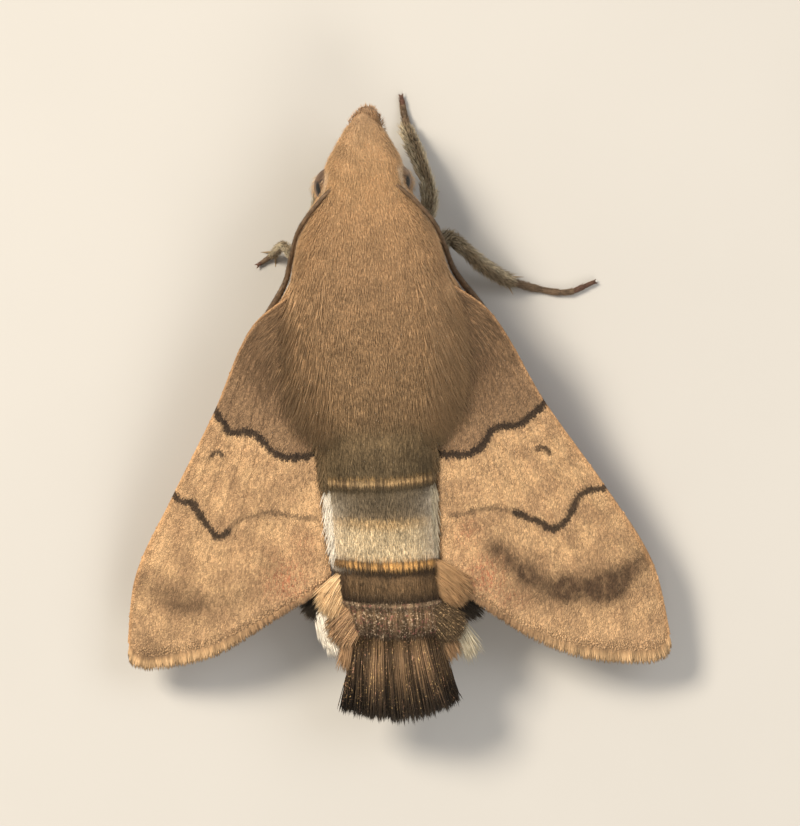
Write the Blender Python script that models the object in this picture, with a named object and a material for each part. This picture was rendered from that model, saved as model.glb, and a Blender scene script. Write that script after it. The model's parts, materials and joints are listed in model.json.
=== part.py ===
# Hummingbird hawk-moth at rest: a still, life-size model, head towards +Y, standing on its six feet.
# Sizes are written in millimetres and turned into metres as each mesh is made.
# The body is one run of smooth sections, parted by thin cuts into head, thorax, abdomen and tail.

import math
import random

import bmesh
import bpy
from mathutils import Vector

MM = 0.001
GAP = 0.3
SIDES = 22
ROUNDNESS = 2.2

# Stations down the body, snout first: place along Y, sideways bend, half width, top and belly heights.
BODY = (
    (14.5, 0.22, 0.30, 4.90, 4.40),
    (13.6, 0.22, 1.05, 5.45, 3.60),
    (12.0, 0.10, 1.80, 6.25, 2.90),
    (10.8, 0.02, 2.25, 6.65, 2.65),
    (9.5, 0.00, 2.92, 7.10, 2.30),
    (8.0, 0.00, 3.55, 7.75, 1.90),
    (6.0, 0.00, 4.15, 8.25, 1.50),
    (3.0, 0.00, 4.30, 8.40, 1.35),
    (0.0, -0.05, 3.70, 7.80, 1.50),
    (-2.0, -0.18, 3.10, 7.10, 1.60),
    (-6.0, -0.25, 2.85, 6.60, 1.60),
    (-9.0, -0.20, 2.75, 6.20, 1.70),
    (-11.8, 0.10, 2.20, 5.50, 2.40),
)
SNOUT_TIP = 14.5
NECK = 9.5
WAIST = -1.3
FIRST_BAND_END = -4.0
SECOND_BAND_END = -8.2
BODY_END = -11.6

# Eyes, feelers and palps
EYE_RADIUS = 0.95
EYE_CENTRE = (1.5, 11.05, 4.55)
FEELER_RADIUS = 0.27
FEELER_CLUB_RADIUS = 0.36
PALP_RADIUS = 0.42
PALP_MIDDLE = 0.22

# Wings: the middle of the membrane slopes from its root out to the tip and tailward
WING_ROOT_HEIGHT = 5.60
WING_ROOT_X = 4.3
WING_ROOT_Y = 6.0
WING_SPREAD = 9.5
WING_DROOP = 2.2
WING_SINK = 0.07
WING_THICKNESS = 0.52
WING_RIM_THICKNESS = 0.36
VEIN_HEIGHT = 0.20
VEIN_HALF_WIDTH = 0.024
HINDWING_DROP = 1.05
INNER_MARGIN_GAP = 0.38

# Legs
HIP_RADIUS = 0.34
FEMUR_RADIUS = 0.43
TIBIA_RADIUS = 0.40
ANKLE_RADIUS = 0.32
TARSUS_RADIUS = 0.27
SOLE_HEIGHT = 0.19

# Locks of long scales at the sides and in the tail fan
LOCK_THICKNESS = 0.52
LOCK_RINGS = 4
LOCK_ROOT_DEPTH = 0.45
FAN_LENGTH = 4.3
FAN_CORE_LENGTH = 2.0
FAN_ROOT_HALF_WIDTH = 1.5
FAN_SPLAY = 17
FAN_LEAN = 3
SEED = 7

COLOURS = {
    "grey_brown": (0.20, 0.145, 0.095, 1.0),
    "abdomen_grey": (0.16, 0.125, 0.085, 1.0),
    "abdomen_cream": (0.46, 0.34, 0.20, 1.0),
    "abdomen_dark": (0.06, 0.042, 0.028, 1.0),
    "fan_brown": (0.09, 0.065, 0.045, 1.0),
    "wing_brown": (0.24, 0.165, 0.105, 1.0),
    "hindwing_orange": (0.50, 0.19, 0.045, 1.0),
    "eye_dark": (0.012, 0.009, 0.008, 1.0),
    "feeler_brown": (0.055, 0.036, 0.026, 1.0),
    "leg_grey": (0.13, 0.105, 0.075, 1.0),
}


def clear_scene():
    for item in list(bpy.data.objects):
        bpy.data.objects.remove(item, do_unlink=True)


def new_collection(name):
    collection = bpy.data.collections.new(name)
    bpy.context.scene.collection.children.link(collection)
    return collection


def make_material(name, roughness):
    found = bpy.data.materials.get(name)
    if found:
        return found
    material = bpy.data.materials.new(name)
    material.use_nodes = True
    shader = material.node_tree.nodes["Principled BSDF"]
    shader.inputs["Base Color"].default_value = COLOURS[name]
    shader.inputs["Roughness"].default_value = roughness
    shader.inputs["Metallic"].default_value = 0.0
    return material


def add_object(name, mesh, collection, material_name, roughness=0.85):
    obj = bpy.data.objects.new(name, mesh)
    collection.objects.link(obj)
    mesh.materials.clear()
    mesh.materials.append(make_material(material_name, roughness))
    mesh.shade_smooth()
    mesh.set_sharp_from_angle(angle=math.radians(50))
    return obj


def smooth_value(knots, values, at):
    # A cubic reading of values at rising knots, with each slope taken across its two neighbours.
    last = len(knots) - 1
    k = 0
    while k < last - 1 and at > knots[k + 1]:
        k += 1
    step = knots[k + 1] - knots[k]
    t = (at - knots[k]) / step
    before, after = max(k - 1, 0), min(k + 2, last)
    slope_0 = (values[k + 1] - values[before]) / (knots[k + 1] - knots[before]) * step
    slope_1 = (values[after] - values[k]) / (knots[after] - knots[k]) * step
    cubic_0 = 2 * t**3 - 3 * t**2 + 1
    cubic_1 = t**3 - 2 * t**2 + t
    cubic_2 = -2 * t**3 + 3 * t**2
    cubic_3 = t**3 - t**2
    return cubic_0 * values[k] + cubic_1 * slope_0 + cubic_2 * values[k + 1] + cubic_3 * slope_1


def smooth_path(points, count, measured=3):
    # Evenly spaced points along a smooth curve through the given ones; further columns ride along.
    knots = [0.0]
    for a, b in zip(points, points[1:]):
        knots.append(knots[-1] + math.dist(a[:measured], b[:measured]))
    columns = list(zip(*points))
    places = [knots[-1] * i / (count - 1) for i in range(count)]
    return [tuple(smooth_value(knots, column, p) for column in columns) for p in places]


def body_at(y):
    knots = [-row[0] for row in BODY]
    return [smooth_value(knots, [row[c] for row in BODY], -y) for c in (1, 2, 3, 4)]


def body_point(y, degrees, lift=0.0, side=1):
    # A point on the body's skin, or lift outside it; 0 degrees is one flank and 90 the back.
    bend, half_width, top, belly = body_at(y)
    half_height = (top - belly) / 2
    angle = math.radians(degrees)
    across = math.copysign(abs(math.cos(angle)) ** (2 / ROUNDNESS), math.cos(angle))
    up = math.copysign(abs(math.sin(angle)) ** (2 / ROUNDNESS), math.sin(angle))
    normal = Vector((math.cos(angle) / half_width, 0, math.sin(angle) / half_height)).normalized()
    point = Vector((half_width * across, y, (top + belly) / 2 + half_height * up))
    point += normal * lift
    return Vector((bend + side * point.x, point.y, point.z))


def body_side(y, z, side):
    # Distance from the middle plane to one flank at one height.
    bend, half_width, top, belly = body_at(y)
    share = min(abs(z - (top + belly) / 2) / ((top - belly) / 2), 0.999)
    return half_width * (1 - share**ROUNDNESS) ** (1 / ROUNDNESS) + side * bend


def mesh_from(name, points, faces):
    mesh = bpy.data.meshes.new(name)
    mesh.from_pydata([tuple(c * MM for c in p) for p in points], [], faces)
    shape = bmesh.new()
    shape.from_mesh(mesh)
    bmesh.ops.recalc_face_normals(shape, faces=shape.faces)
    shape.to_mesh(mesh)
    shape.free()
    return mesh


def loft(name, rings):
    # A closed mesh through equal rings of points, with a flat face at each end.
    count = len(rings[0])
    points = [p for ring in rings for p in ring]
    faces = []
    for k in range(len(rings) - 1):
        for i in range(count):
            j = (i + 1) % count
            faces.append((k * count + i, k * count + j, (k + 1) * count + j, (k + 1) * count + i))
    faces.append(tuple(range(count)))
    last = (len(rings) - 1) * count
    faces.append(tuple(range(last, last + count)))
    return mesh_from(name, points, faces)


def body_length(name, front, rear, rings, collection, material_name):
    sections = []
    for k in range(rings):
        y = front + (rear - front) * k / (rings - 1)
        sections.append([body_point(y, 360 * i / SIDES) for i in range(SIDES)])
    return add_object(name, loft(name, sections), collection, material_name)


def tube(name, points, radii, count, collection, material_name, resolution=2, on_floor=False):
    # A tapered tube along a smooth path; a foot is cut level where it meets the floor.
    path = smooth_path([tuple(p) + (r,) for p, r in zip(points, radii)], count)
    curve = bpy.data.curves.new(name, "CURVE")
    curve.dimensions = "3D"
    curve.bevel_depth = MM
    curve.bevel_resolution = resolution
    curve.use_fill_caps = True
    spline = curve.splines.new("POLY")
    spline.points.add(count - 1)
    for point, (x, y, z, radius) in zip(spline.points, path):
        point.co = (x * MM, y * MM, z * MM, 1.0)
        point.radius = radius
    guide = bpy.data.objects.new(name + "_path", curve)
    collection.objects.link(guide)
    mesh = bpy.data.meshes.new_from_object(guide.evaluated_get(bpy.context.evaluated_depsgraph_get()))
    bpy.data.objects.remove(guide, do_unlink=True)
    shape = bmesh.new()
    shape.from_mesh(mesh)
    bmesh.ops.remove_doubles(shape, verts=shape.verts, dist=0.001 * MM)
    if on_floor:
        everything = list(shape.verts) + list(shape.edges) + list(shape.faces)
        cut = bmesh.ops.bisect_plane(
            shape, geom=everything, plane_co=(0, 0, 0), plane_no=(0, 0, 1), clear_inner=True
        )
        rim = [e for e in cut["geom_cut"] if isinstance(e, bmesh.types.BMEdge)]
        bmesh.ops.holes_fill(shape, edges=rim)
    bmesh.ops.recalc_face_normals(shape, faces=shape.faces)
    shape.to_mesh(mesh)
    shape.free()
    return add_object(name, mesh, collection, material_name)


def keep_largest(mesh):
    # Leaves only the closed surface that holds the most space.
    shape = bmesh.new()
    shape.from_mesh(mesh)
    bmesh.ops.triangulate(shape, faces=shape.faces)
    shape.verts.ensure_lookup_table()
    seen = set()
    groups = []
    for start in shape.verts:
        if start.index in seen:
            continue
        group, waiting = [], [start]
        seen.add(start.index)
        while waiting:
            vert = waiting.pop()
            group.append(vert)
            for edge in vert.link_edges:
                other = edge.other_vert(vert)
                if other.index not in seen:
                    seen.add(other.index)
                    waiting.append(other)
        groups.append(group)

    def held(group):
        faces = {f for v in group for f in v.link_faces}
        return sum(f.verts[0].co.dot(f.verts[1].co.cross(f.verts[2].co)) for f in faces) / 6

    groups.sort(key=held, reverse=True)
    extra = [v for group in groups[1:] for v in group]
    bmesh.ops.delete(shape, geom=extra, context="VERTS")
    shape.to_mesh(mesh)
    shape.free()


def fuse(core, pieces):
    # One union of a node's core with all the closed pieces that grow from it.
    parts = new_collection(core.name + "_pieces")
    for k, mesh in enumerate(pieces):
        parts.objects.link(bpy.data.objects.new(core.name + "_piece_" + str(k), mesh))
    union = core.modifiers.new("Union", "BOOLEAN")
    union.operation = "UNION"
    union.operand_type = "COLLECTION"
    union.collection = parts
    union.solver = "EXACT"
    joined = bpy.data.meshes.new_from_object(core.evaluated_get(bpy.context.evaluated_depsgraph_get()))
    core.modifiers.remove(union)
    core.data = joined
    joined.name = core.name
    for item in list(parts.objects):
        bpy.data.objects.remove(item, do_unlink=True)
    bpy.data.collections.remove(parts)
    keep_largest(joined)
    joined.shade_smooth()
    joined.set_sharp_from_angle(angle=math.radians(50))


def lock_mesh(root, outward, heading, length, width, curl, thickness=LOCK_THICKNESS):
    # One flat lock that leaves its root along heading and bends by curl towards outward.
    rings = []
    place = Vector(root)
    step = length / LOCK_RINGS
    forward = Vector(heading).normalized()
    out = Vector(outward).normalized()
    for k in range(LOCK_RINGS):
        t = k / LOCK_RINGS
        side = forward.cross(out).normalized()
        up = side.cross(forward).normalized()
        half = width * (0.62 + 0.76 * t - 1.15 * t**2) / 1.5
        thick = thickness / 2 * (1 - 0.35 * t**2)
        rings.append([place + side * half, place + up * thick, place - side * half, place - up * thick])
        forward = (forward + out * curl / LOCK_RINGS).normalized()
        place = place + forward * step
    count = len(rings[0])
    points = [p for ring in rings for p in ring] + [place]
    faces = [tuple(range(count))]
    for k in range(LOCK_RINGS - 1):
        for i in range(count):
            j = (i + 1) % count
            faces.append((k * count + i, k * count + j, (k + 1) * count + j, (k + 1) * count + i))
    last = (LOCK_RINGS - 1) * count
    tip = len(points) - 1
    for i in range(count):
        faces.append((last + i, last + (i + 1) % count, tip))
    return mesh_from("lock", points, faces)


def side_locks(core, rows, draw):
    # Locks along both flanks; a row gives roots from y to y, height, length, width and splay.
    pieces = []
    for first, final, count, degrees, length, width, splay in rows:
        for sign in (1, -1):
            for k in range(count):
                share = k / max(count - 1, 1)
                y = first + (final - first) * share
                angle = degrees + draw.uniform(-9, 9)
                root = body_point(y, angle, -LOCK_ROOT_DEPTH, sign)
                outward = body_point(y, angle, 1.0, sign) - body_point(y, angle, 0.0, sign)
                turn = math.radians(splay + draw.uniform(-6, 6))
                heading = Vector((0, -math.cos(turn), 0)) + outward * math.sin(turn)
                size = length * draw.uniform(0.86, 1.12)
                pieces.append(lock_mesh(root, outward, heading, size, width, draw.uniform(-0.35, 0.1)))
    fuse(core, pieces)


def wing_height(x, y):
    share = max((abs(x) - WING_ROOT_X) / WING_SPREAD, 0.0)
    drop = WING_DROOP * (0.65 * share + 0.35 * share**2)
    return WING_ROOT_HEIGHT - drop - WING_SINK * (WING_ROOT_Y - y)


def wing(name, side, costa, termen, inner, veins, rows, drop, root_ys, material_name, parts):
    # A four-sided patch between root, leading edge, outer edge and inner edge, with veins raised on top.
    lines = [0.0]
    for v in veins:
        lines += [v - VEIN_HALF_WIDTH, v, v + VEIN_HALF_WIDTH]
    lines.append(1.0)
    raised = {round(v, 5) for v in veins}

    def root_point(v):
        y = root_ys[0] + (root_ys[1] - root_ys[0]) * v
        z = wing_height(WING_ROOT_X, y) - drop
        return Vector((body_side(y, z, side) + GAP, y))

    start = root_point(0.0)
    rear = root_point(1.0)
    edges = (
        smooth_path([tuple(start)] + list(costa), rows),
        smooth_path([tuple(rear)] + list(inner), rows),
    )
    outer = smooth_path([costa[-1]] + list(termen) + [inner[-1]], 41)
    apex = Vector(costa[-1])
    tornus = Vector(inner[-1])
    upper, lower = [], []
    for r in range(rows):
        u = r / (rows - 1)
        for v in lines:
            across = Vector(edges[0][r]) * (1 - v) + Vector(edges[1][r]) * v
            end = Vector(outer[min(int(round(v * 40)), 40)])
            along = root_point(v) * (1 - u) + end * u
            corners = (start * (1 - v) + rear * v) * (1 - u) + (apex * (1 - v) + tornus * v) * u
            spot = across + along - corners
            z = wing_height(spot.x, spot.y) - drop
            rim = r in (0, rows - 1) or v in (0.0, 1.0)
            half = (WING_RIM_THICKNESS if rim else WING_THICKNESS) / 2
            ridge = VEIN_HEIGHT if round(v, 5) in raised and not rim else 0.0
            upper.append((side * spot.x, spot.y, z + half + ridge))
            lower.append((side * spot.x, spot.y, z - half))
    width = len(lines)
    faces = []
    for r in range(rows - 1):
        for i in range(width - 1):
            a, b = r * width + i, r * width + i + 1
            c, d = a + width, b + width
            for tri in ((a, b, d), (a, d, c)):
                faces.append(tri)
                faces.append(tuple(q + len(upper) for q in reversed(tri)))
    loop = list(range(width))
    loop += [r * width + width - 1 for r in range(1, rows)]
    loop += [(rows - 1) * width + i for i in range(width - 2, -1, -1)]
    loop += [r * width for r in range(rows - 2, 0, -1)]
    for k, a in enumerate(loop):
        b = loop[(k + 1) % len(loop)]
        faces.append((a, b, b + len(upper), a + len(upper)))
    return add_object(name, mesh_from(name, upper + lower, faces), parts, material_name, 0.7)


def make_head(parts, cutters):
    head = body_length("head", SNOUT_TIP, NECK + GAP / 2, 12, parts, "grey_brown")
    for side, word in ((1, "right"), (-1, "left")):
        place = [side * EYE_CENTRE[0] * MM, EYE_CENTRE[1] * MM, EYE_CENTRE[2] * MM]
        bpy.ops.mesh.primitive_ico_sphere_add(subdivisions=3, radius=EYE_RADIUS * MM, location=place)
        eye = bpy.context.object
        eye.name = "eye_" + word
        eye.data.materials.append(make_material("eye_dark", 0.25))
        eye.data.shade_smooth()
        bpy.ops.mesh.primitive_ico_sphere_add(subdivisions=3, radius=(EYE_RADIUS + GAP) * MM, location=place)
        socket = bpy.context.object
        socket.name = "socket_" + word
        socket.hide_render = True
        socket.display_type = "WIRE"
        for item, home in ((eye, parts), (socket, cutters)):
            for old in list(item.users_collection):
                old.objects.unlink(item)
            home.objects.link(item)
        cut = head.modifiers.new("Socket " + word, "BOOLEAN")
        cut.operation = "DIFFERENCE"
        cut.object = socket


def make_palps(parts):
    for side, word in ((1, "right"), (-1, "left")):
        path = [
            (PALP_MIDDLE + side * 0.66, 12.9, 2.85),
            (PALP_MIDDLE + side * 0.62, 13.9, 3.15),
            (PALP_MIDDLE + side * 0.54, 14.6, 3.75),
            (PALP_MIDDLE + side * 0.48, 14.85, 4.30),
        ]
        radii = [PALP_RADIUS * 0.9, PALP_RADIUS, PALP_RADIUS * 0.85, PALP_RADIUS * 0.6]
        tube("palp_" + word, path, radii, 8, parts, "grey_brown")


def make_feelers(parts):
    # Each feeler is laid back along the side of head and thorax, and ends under the wing's edge.
    lift = GAP + FEELER_RADIUS + 0.03
    stretch = ((11.3, 50), (10.3, 32), (9.0, 8), (7.7, -15), (6.4, -21))
    under_wing = ((5.45, 4.5, 3.85), (6.3, 2.75, 3.70), (6.7, 2.3, 3.6))
    for side, word in ((1, "right"), (-1, "left")):
        path = [body_point(11.75, 62, GAP + 0.05, side)]
        path += [body_point(y, degrees, lift, side) for y, degrees in stretch]
        path += [Vector((side * x, y, z)) for x, y, z in under_wing]
        radii = [FEELER_RADIUS] * 5 + [0.31, FEELER_CLUB_RADIUS, 0.30, 0.12]
        tube("antenna_" + word, path, radii, 20, parts, "feeler_brown")


def leg(name, side, root_y, root_degrees, path, radii, parts):
    root = body_point(root_y, root_degrees, GAP + 0.14, side)
    points = [root] + [Vector((side * x, y, z)) for x, y, z in path]
    tube(name, points, [HIP_RADIUS] + radii, 17, parts, "leg_grey", resolution=1, on_floor=True)


def make_legs(parts):
    thigh, shin, ankle, foot = FEMUR_RADIUS, TIBIA_RADIUS, ANKLE_RADIUS, TARSUS_RADIUS
    sole = SOLE_HEIGHT
    # The right foreleg reaches forward beside the head, and the left one is tucked under it.
    reach = [(3.10, 9.35, 2.55), (3.30, 10.5, 2.50), (2.95, 12.1, 1.75), (2.50, 13.6, 0.60)]
    reach += [(2.32, 14.6, sole), (2.24, 15.5, sole)]
    leg("foreleg_right", 1, 8.5, -46, reach, [thigh, thigh, shin, ankle, foot, foot], parts)
    tucked = [(2.55, 9.60, 1.95), (2.25, 10.7, 1.50), (1.60, 11.9, 0.65)]
    tucked += [(1.15, 12.8, sole), (0.95, 13.5, sole)]
    leg("foreleg_left", -1, 8.5, -46, tucked, [thigh, shin, ankle, foot, foot], parts)
    # The right midleg is stretched out, and the left one is bent with its foot close by.
    stretched = [(3.95, 7.95, 2.95), (4.65, 7.65, 3.00), (5.70, 6.65, 2.15), (6.95, 5.80, 0.95)]
    stretched += [(8.36, 5.25, sole), (9.90, 4.95, sole), (11.35, 5.38, sole)]
    leg("midleg_right", 1, 6.8, -36, stretched, [thigh, thigh, shin, ankle, foot, foot, foot], parts)
    folded = [(3.80, 7.70, 2.75), (4.15, 8.25, 2.45), (4.45, 8.25, 1.45), (4.80, 7.95, 0.50)]
    folded += [(5.20, 7.70, sole), (5.65, 7.45, sole)]
    leg("midleg_left", -1, 6.8, -36, folded, [thigh, thigh, shin, ankle, foot, foot], parts)
    # The hindlegs lie hidden below the wings.
    trailing = [(4.75, 0.75, 2.65), (5.45, -0.80, 2.25), (6.15, -2.70, 1.10), (6.60, -4.40, sole)]
    trailing += [(6.85, -5.80, sole), (7.10, -7.40, sole)]
    for side, word in ((1, "right"), (-1, "left")):
        leg("hindleg_" + word, side, 1.9, -34, trailing, [thigh, thigh, shin, ankle, foot, foot], parts)


def place_on_wing(points, reach, turn):
    # Scales a wing's outline about its root and swings it outward by turn degrees.
    root = Vector((WING_ROOT_X, WING_ROOT_Y))
    angle = math.radians(turn)
    placed = []
    for point in points:
        arm = (Vector(point) - root) * reach
        x = arm.x * math.cos(angle) - arm.y * math.sin(angle)
        y = arm.x * math.sin(angle) + arm.y * math.cos(angle)
        placed.append((root.x + x, root.y + y))
    return placed


def make_wings(parts):
    veins = (0.10, 0.20, 0.32, 0.44, 0.56, 0.68, 0.80, 0.91)
    hind_veins = (0.14, 0.32, 0.50, 0.68, 0.86)
    costa = [(5.95, 4.10), (8.15, -0.25), (10.90, -4.75), (12.95, -8.60), (13.65, -12.60)]
    termen = [(13.20, -13.35), (12.25, -13.50), (9.20, -12.90), (6.40, -11.45)]
    hind_costa = [(6.2, -0.6), (8.0, -4.6), (9.3, -8.4)]
    hind_termen = [(8.2, -9.9), (6.2, -9.6)]
    hind_inner = [(4.55, -2.6), (4.25, -5.4), (4.35, -8.2)]
    placings = ((1, "right", 1.02, 0.0, 0.0), (-1, "left", 0.95, 1.3, 0.1))
    for side, word, reach, turn, margin in placings:
        inner = []
        for y in (-1.5, -4.0, -6.4, -8.6):
            z = wing_height(WING_ROOT_X, y)
            inner.append((body_side(y, z, side) + INNER_MARGIN_GAP + margin, y))
        wing(
            "forewing_" + word, side, place_on_wing(costa, reach, turn), place_on_wing(termen, reach, turn),
            inner, veins, 13, 0.0, (5.9, 0.6), "wing_brown", parts,
        )
        wing(
            "hindwing_" + word, side, hind_costa, hind_termen, hind_inner, hind_veins, 8,
            HINDWING_DROP, (2.4, -0.6), "hindwing_orange", parts,
        )


def make_abdomen(parts, draw):
    body_length("abdomen_1", WAIST - GAP / 2, FIRST_BAND_END + GAP / 2, 5, parts, "abdomen_grey")
    second = body_length(
        "abdomen_2", FIRST_BAND_END - GAP / 2, SECOND_BAND_END + GAP / 2, 6, parts, "abdomen_cream"
    )
    side_locks(second, ((-4.6, -6.6, 4, -4, 1.7, 0.75, 13),), draw)
    third = body_length(
        "abdomen_3", SECOND_BAND_END - GAP / 2, BODY_END + GAP / 2, 6, parts, "abdomen_dark"
    )
    rows = (
        (-8.9, -9.4, 3, -4, 2.3, 0.85, 42),
        (-9.5, -9.9, 3, -14, 2.9, 0.80, 58),
        (-10.2, -10.8, 3, -2, 3.0, 0.85, 48),
        (-10.8, -11.2, 2, 8, 2.5, 0.75, 32),
    )
    side_locks(third, rows, draw)


def make_fan(parts, draw):
    front = BODY_END - GAP / 2
    bend, half_width, top, belly = body_at(front)
    middle = (top + belly) / 2
    rings = []
    for k in range(5):
        t = k / 4
        y = front - FAN_CORE_LENGTH * t
        width = half_width * (0.88 - 0.20 * t**2)
        height = (top - belly) / 2 * (1 - 0.68 * t)
        ring = []
        for i in range(SIDES):
            angle = 2 * math.pi * i / SIDES
            ring.append((bend + width * math.cos(angle), y, middle - 0.25 * t + height * math.sin(angle)))
        rings.append(ring)
    core = add_object("tail_fan", loft("tail_fan", rings), parts, "fan_brown")
    pieces = []
    tiers = ((8, 0.62, 0.10), (9, 0.0, 0.0), (8, -0.55, -0.10))
    for count, level, tilt in tiers:
        for k in range(count):
            share = 2 * k / (count - 1) - 1
            reach = FAN_LENGTH * (1.0 - 0.16 * share**2) * draw.uniform(0.95, 1.03)
            root_y = front - 0.75 - 0.3 * draw.random()
            root_z = middle - 0.05 + level * (1 - 0.35 * share**2)
            root = Vector((bend + share * FAN_ROOT_HALF_WIDTH, root_y, root_z))
            splay = math.radians(FAN_LEAN + FAN_SPLAY * share + draw.uniform(-3, 3))
            heading = Vector((math.sin(splay), -math.cos(splay), tilt - 0.10))
            length = reach - (front - root_y)
            pieces.append(lock_mesh(root, (0, 0, 1), heading, length, 1.02, draw.uniform(-0.18, -0.02)))
    fuse(core, pieces)


def centre_model(parts, holder):
    # Sets the middle of the model's box over the origin; the feet are already at height 0.
    bpy.context.view_layer.update()
    corners = [o.matrix_world @ Vector(c) for o in parts.objects if o.type == "MESH" for c in o.bound_box]
    low = [min(c[k] for c in corners) for k in range(3)]
    high = [max(c[k] for c in corners) for k in range(3)]
    holder.location = (-(low[0] + high[0]) / 2, -(low[1] + high[1]) / 2, -low[2])


def build():
    clear_scene()
    parts = new_collection("hawk_moth")
    cutters = new_collection("cutters")
    draw = random.Random(SEED)
    make_head(parts, cutters)
    make_palps(parts)
    make_feelers(parts)
    body_length("thorax", NECK - GAP / 2, WAIST + GAP / 2, 12, parts, "grey_brown")
    make_abdomen(parts, draw)
    make_fan(parts, draw)
    make_wings(parts)
    make_legs(parts)
    holder = bpy.data.objects.new("moth", None)
    parts.objects.link(holder)
    for obj in list(parts.objects) + list(cutters.objects):
        if obj is not holder:
            obj.parent = holder
    centre_model(parts, holder)


build()
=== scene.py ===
import json
import math

import bpy
import numpy as np
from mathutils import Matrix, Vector

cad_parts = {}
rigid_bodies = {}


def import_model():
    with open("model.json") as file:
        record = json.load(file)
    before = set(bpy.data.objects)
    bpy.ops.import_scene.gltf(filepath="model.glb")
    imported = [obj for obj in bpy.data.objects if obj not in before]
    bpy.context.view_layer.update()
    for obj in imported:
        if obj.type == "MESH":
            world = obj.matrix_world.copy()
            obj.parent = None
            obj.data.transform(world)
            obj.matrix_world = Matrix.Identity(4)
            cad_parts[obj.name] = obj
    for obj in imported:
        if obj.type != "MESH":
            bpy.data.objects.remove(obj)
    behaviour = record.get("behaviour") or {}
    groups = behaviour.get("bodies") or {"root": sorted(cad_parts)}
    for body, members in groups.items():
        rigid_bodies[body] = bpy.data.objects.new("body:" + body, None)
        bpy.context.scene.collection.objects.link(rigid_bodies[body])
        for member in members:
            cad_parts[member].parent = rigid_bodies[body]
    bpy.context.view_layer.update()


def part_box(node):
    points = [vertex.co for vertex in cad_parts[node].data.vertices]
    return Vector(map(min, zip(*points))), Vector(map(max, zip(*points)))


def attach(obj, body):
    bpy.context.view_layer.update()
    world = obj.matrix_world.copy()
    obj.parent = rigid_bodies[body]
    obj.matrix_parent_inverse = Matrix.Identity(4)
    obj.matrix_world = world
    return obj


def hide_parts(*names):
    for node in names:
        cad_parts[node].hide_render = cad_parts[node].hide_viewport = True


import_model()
mm = 0.001
scene = bpy.context.scene
bothSides = ((1, "Right"), (-1, "Left"))
print("frame loaded")

# Shapes are worked out in millimetres in the moth's own frame: middle plane at X 0, floor at Z 0, head at +Y.
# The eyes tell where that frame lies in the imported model.
eyePlan = {"place": (1.5, 11.05, 4.55), "looks": (0.97, 0.08, 0.20), "radius": 0.95}


def middleOf(node):
    low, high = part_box(node)
    return (low + high) / 2


betweenEyes = (middleOf("eye_left") + middleOf("eye_right")) / 2
shift = np.array(betweenEyes) / mm - np.multiply(eyePlan["place"], (0, 1, 1))


def addObject(name, data):
    made = bpy.data.objects.new(name, data)
    scene.collection.objects.link(made)
    return made


# Camera: nearly straight above, with the photo's framing and its small turn
cameraPlan = {
    "aim": (1.01, -0.53, 4.6),  # middle of the picture
    "turn": -4.2,  # degrees about the vertical
    "lens": 300.0,
    "sensor": 36.0,
    "clip": (0.01, 20.0),
    "pictureHeight": 41.3,  # millimetres from the lower to the upper edge
}
lens = bpy.data.cameras.new("camera")
lens.lens = cameraPlan["lens"]
lens.sensor_width = cameraPlan["sensor"]
lens.clip_start, lens.clip_end = cameraPlan["clip"]
scene.camera = addObject("camera", lens)
distance = cameraPlan["pictureHeight"] * mm * lens.lens / lens.sensor_width
scene.camera.location = (np.array(cameraPlan["aim"]) + shift) * mm + (0, 0, distance)
scene.camera.rotation_euler = (0.0, 0.0, math.radians(cameraPlan["turn"]))
scene.view_settings.view_transform = "Standard"
print("camera set")


def unit(vectors):
    return vectors / np.maximum(np.linalg.norm(vectors, axis=-1, keepdims=True), 1e-9)


def together(*parts):
    # Columns side by side; a plain number fills its column
    return np.stack(np.broadcast_arrays(*parts), axis=-1)


def step(low, high, values):
    # 0 below low, 1 above high, smooth between; low may be the larger one
    share = np.clip((np.asarray(values) - low) / (high - low), 0, 1)
    return share * share * (3 - 2 * share)


def hump(middle, width, values):
    return np.exp(-(((np.asarray(values) - middle) / width) ** 2))


def readRows(rows, at):
    places, values = zip(*sorted(rows))
    return np.interp(at, places, values)


def readLine(line, share):
    # Points of a line at shares of its count
    grid = np.linspace(0, 1, len(line))
    return together(*(np.interp(share, grid, column) for column in line.T))


def smoothRead(knots, values, at):
    # A cubic reading of values at rising knots, with each slope taken across its two neighbours
    knots, values = np.asarray(knots, float), np.asarray(values, float)
    at = np.atleast_1d(np.asarray(at, float))
    last = len(knots) - 1
    k = np.minimum(np.searchsorted(knots[1:], at, side="left"), last - 1)
    before, after = np.maximum(k - 1, 0), np.minimum(k + 2, last)
    width = knots[k + 1] - knots[k]
    t = (at - knots[k]) / width
    if values.ndim == 2:
        t, width = t[:, None], width[:, None]
    span0 = (knots[k + 1] - knots[before]).reshape(width.shape)
    span1 = (knots[after] - knots[k]).reshape(width.shape)
    slope0 = (values[k + 1] - values[before]) / span0 * width
    slope1 = (values[after] - values[k]) / span1 * width
    rise = 3 * t**2 - 2 * t**3
    bends = (t**3 - 2 * t**2 + t) * slope0, (t**3 - t**2) * slope1
    return (1 - rise) * values[k] + rise * values[k + 1] + bends[0] + bends[1]


def smoothPath(points, count, measured=3):
    # Evenly spaced points along a smooth curve through the given ones; further columns ride along
    points = np.array(points, float)
    gaps = np.linalg.norm(np.diff(points[:, :measured], axis=0), axis=1)
    knots = np.concatenate([[0.0], np.cumsum(gaps)])
    return smoothRead(knots, points, np.linspace(0, knots[-1], count))


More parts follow.
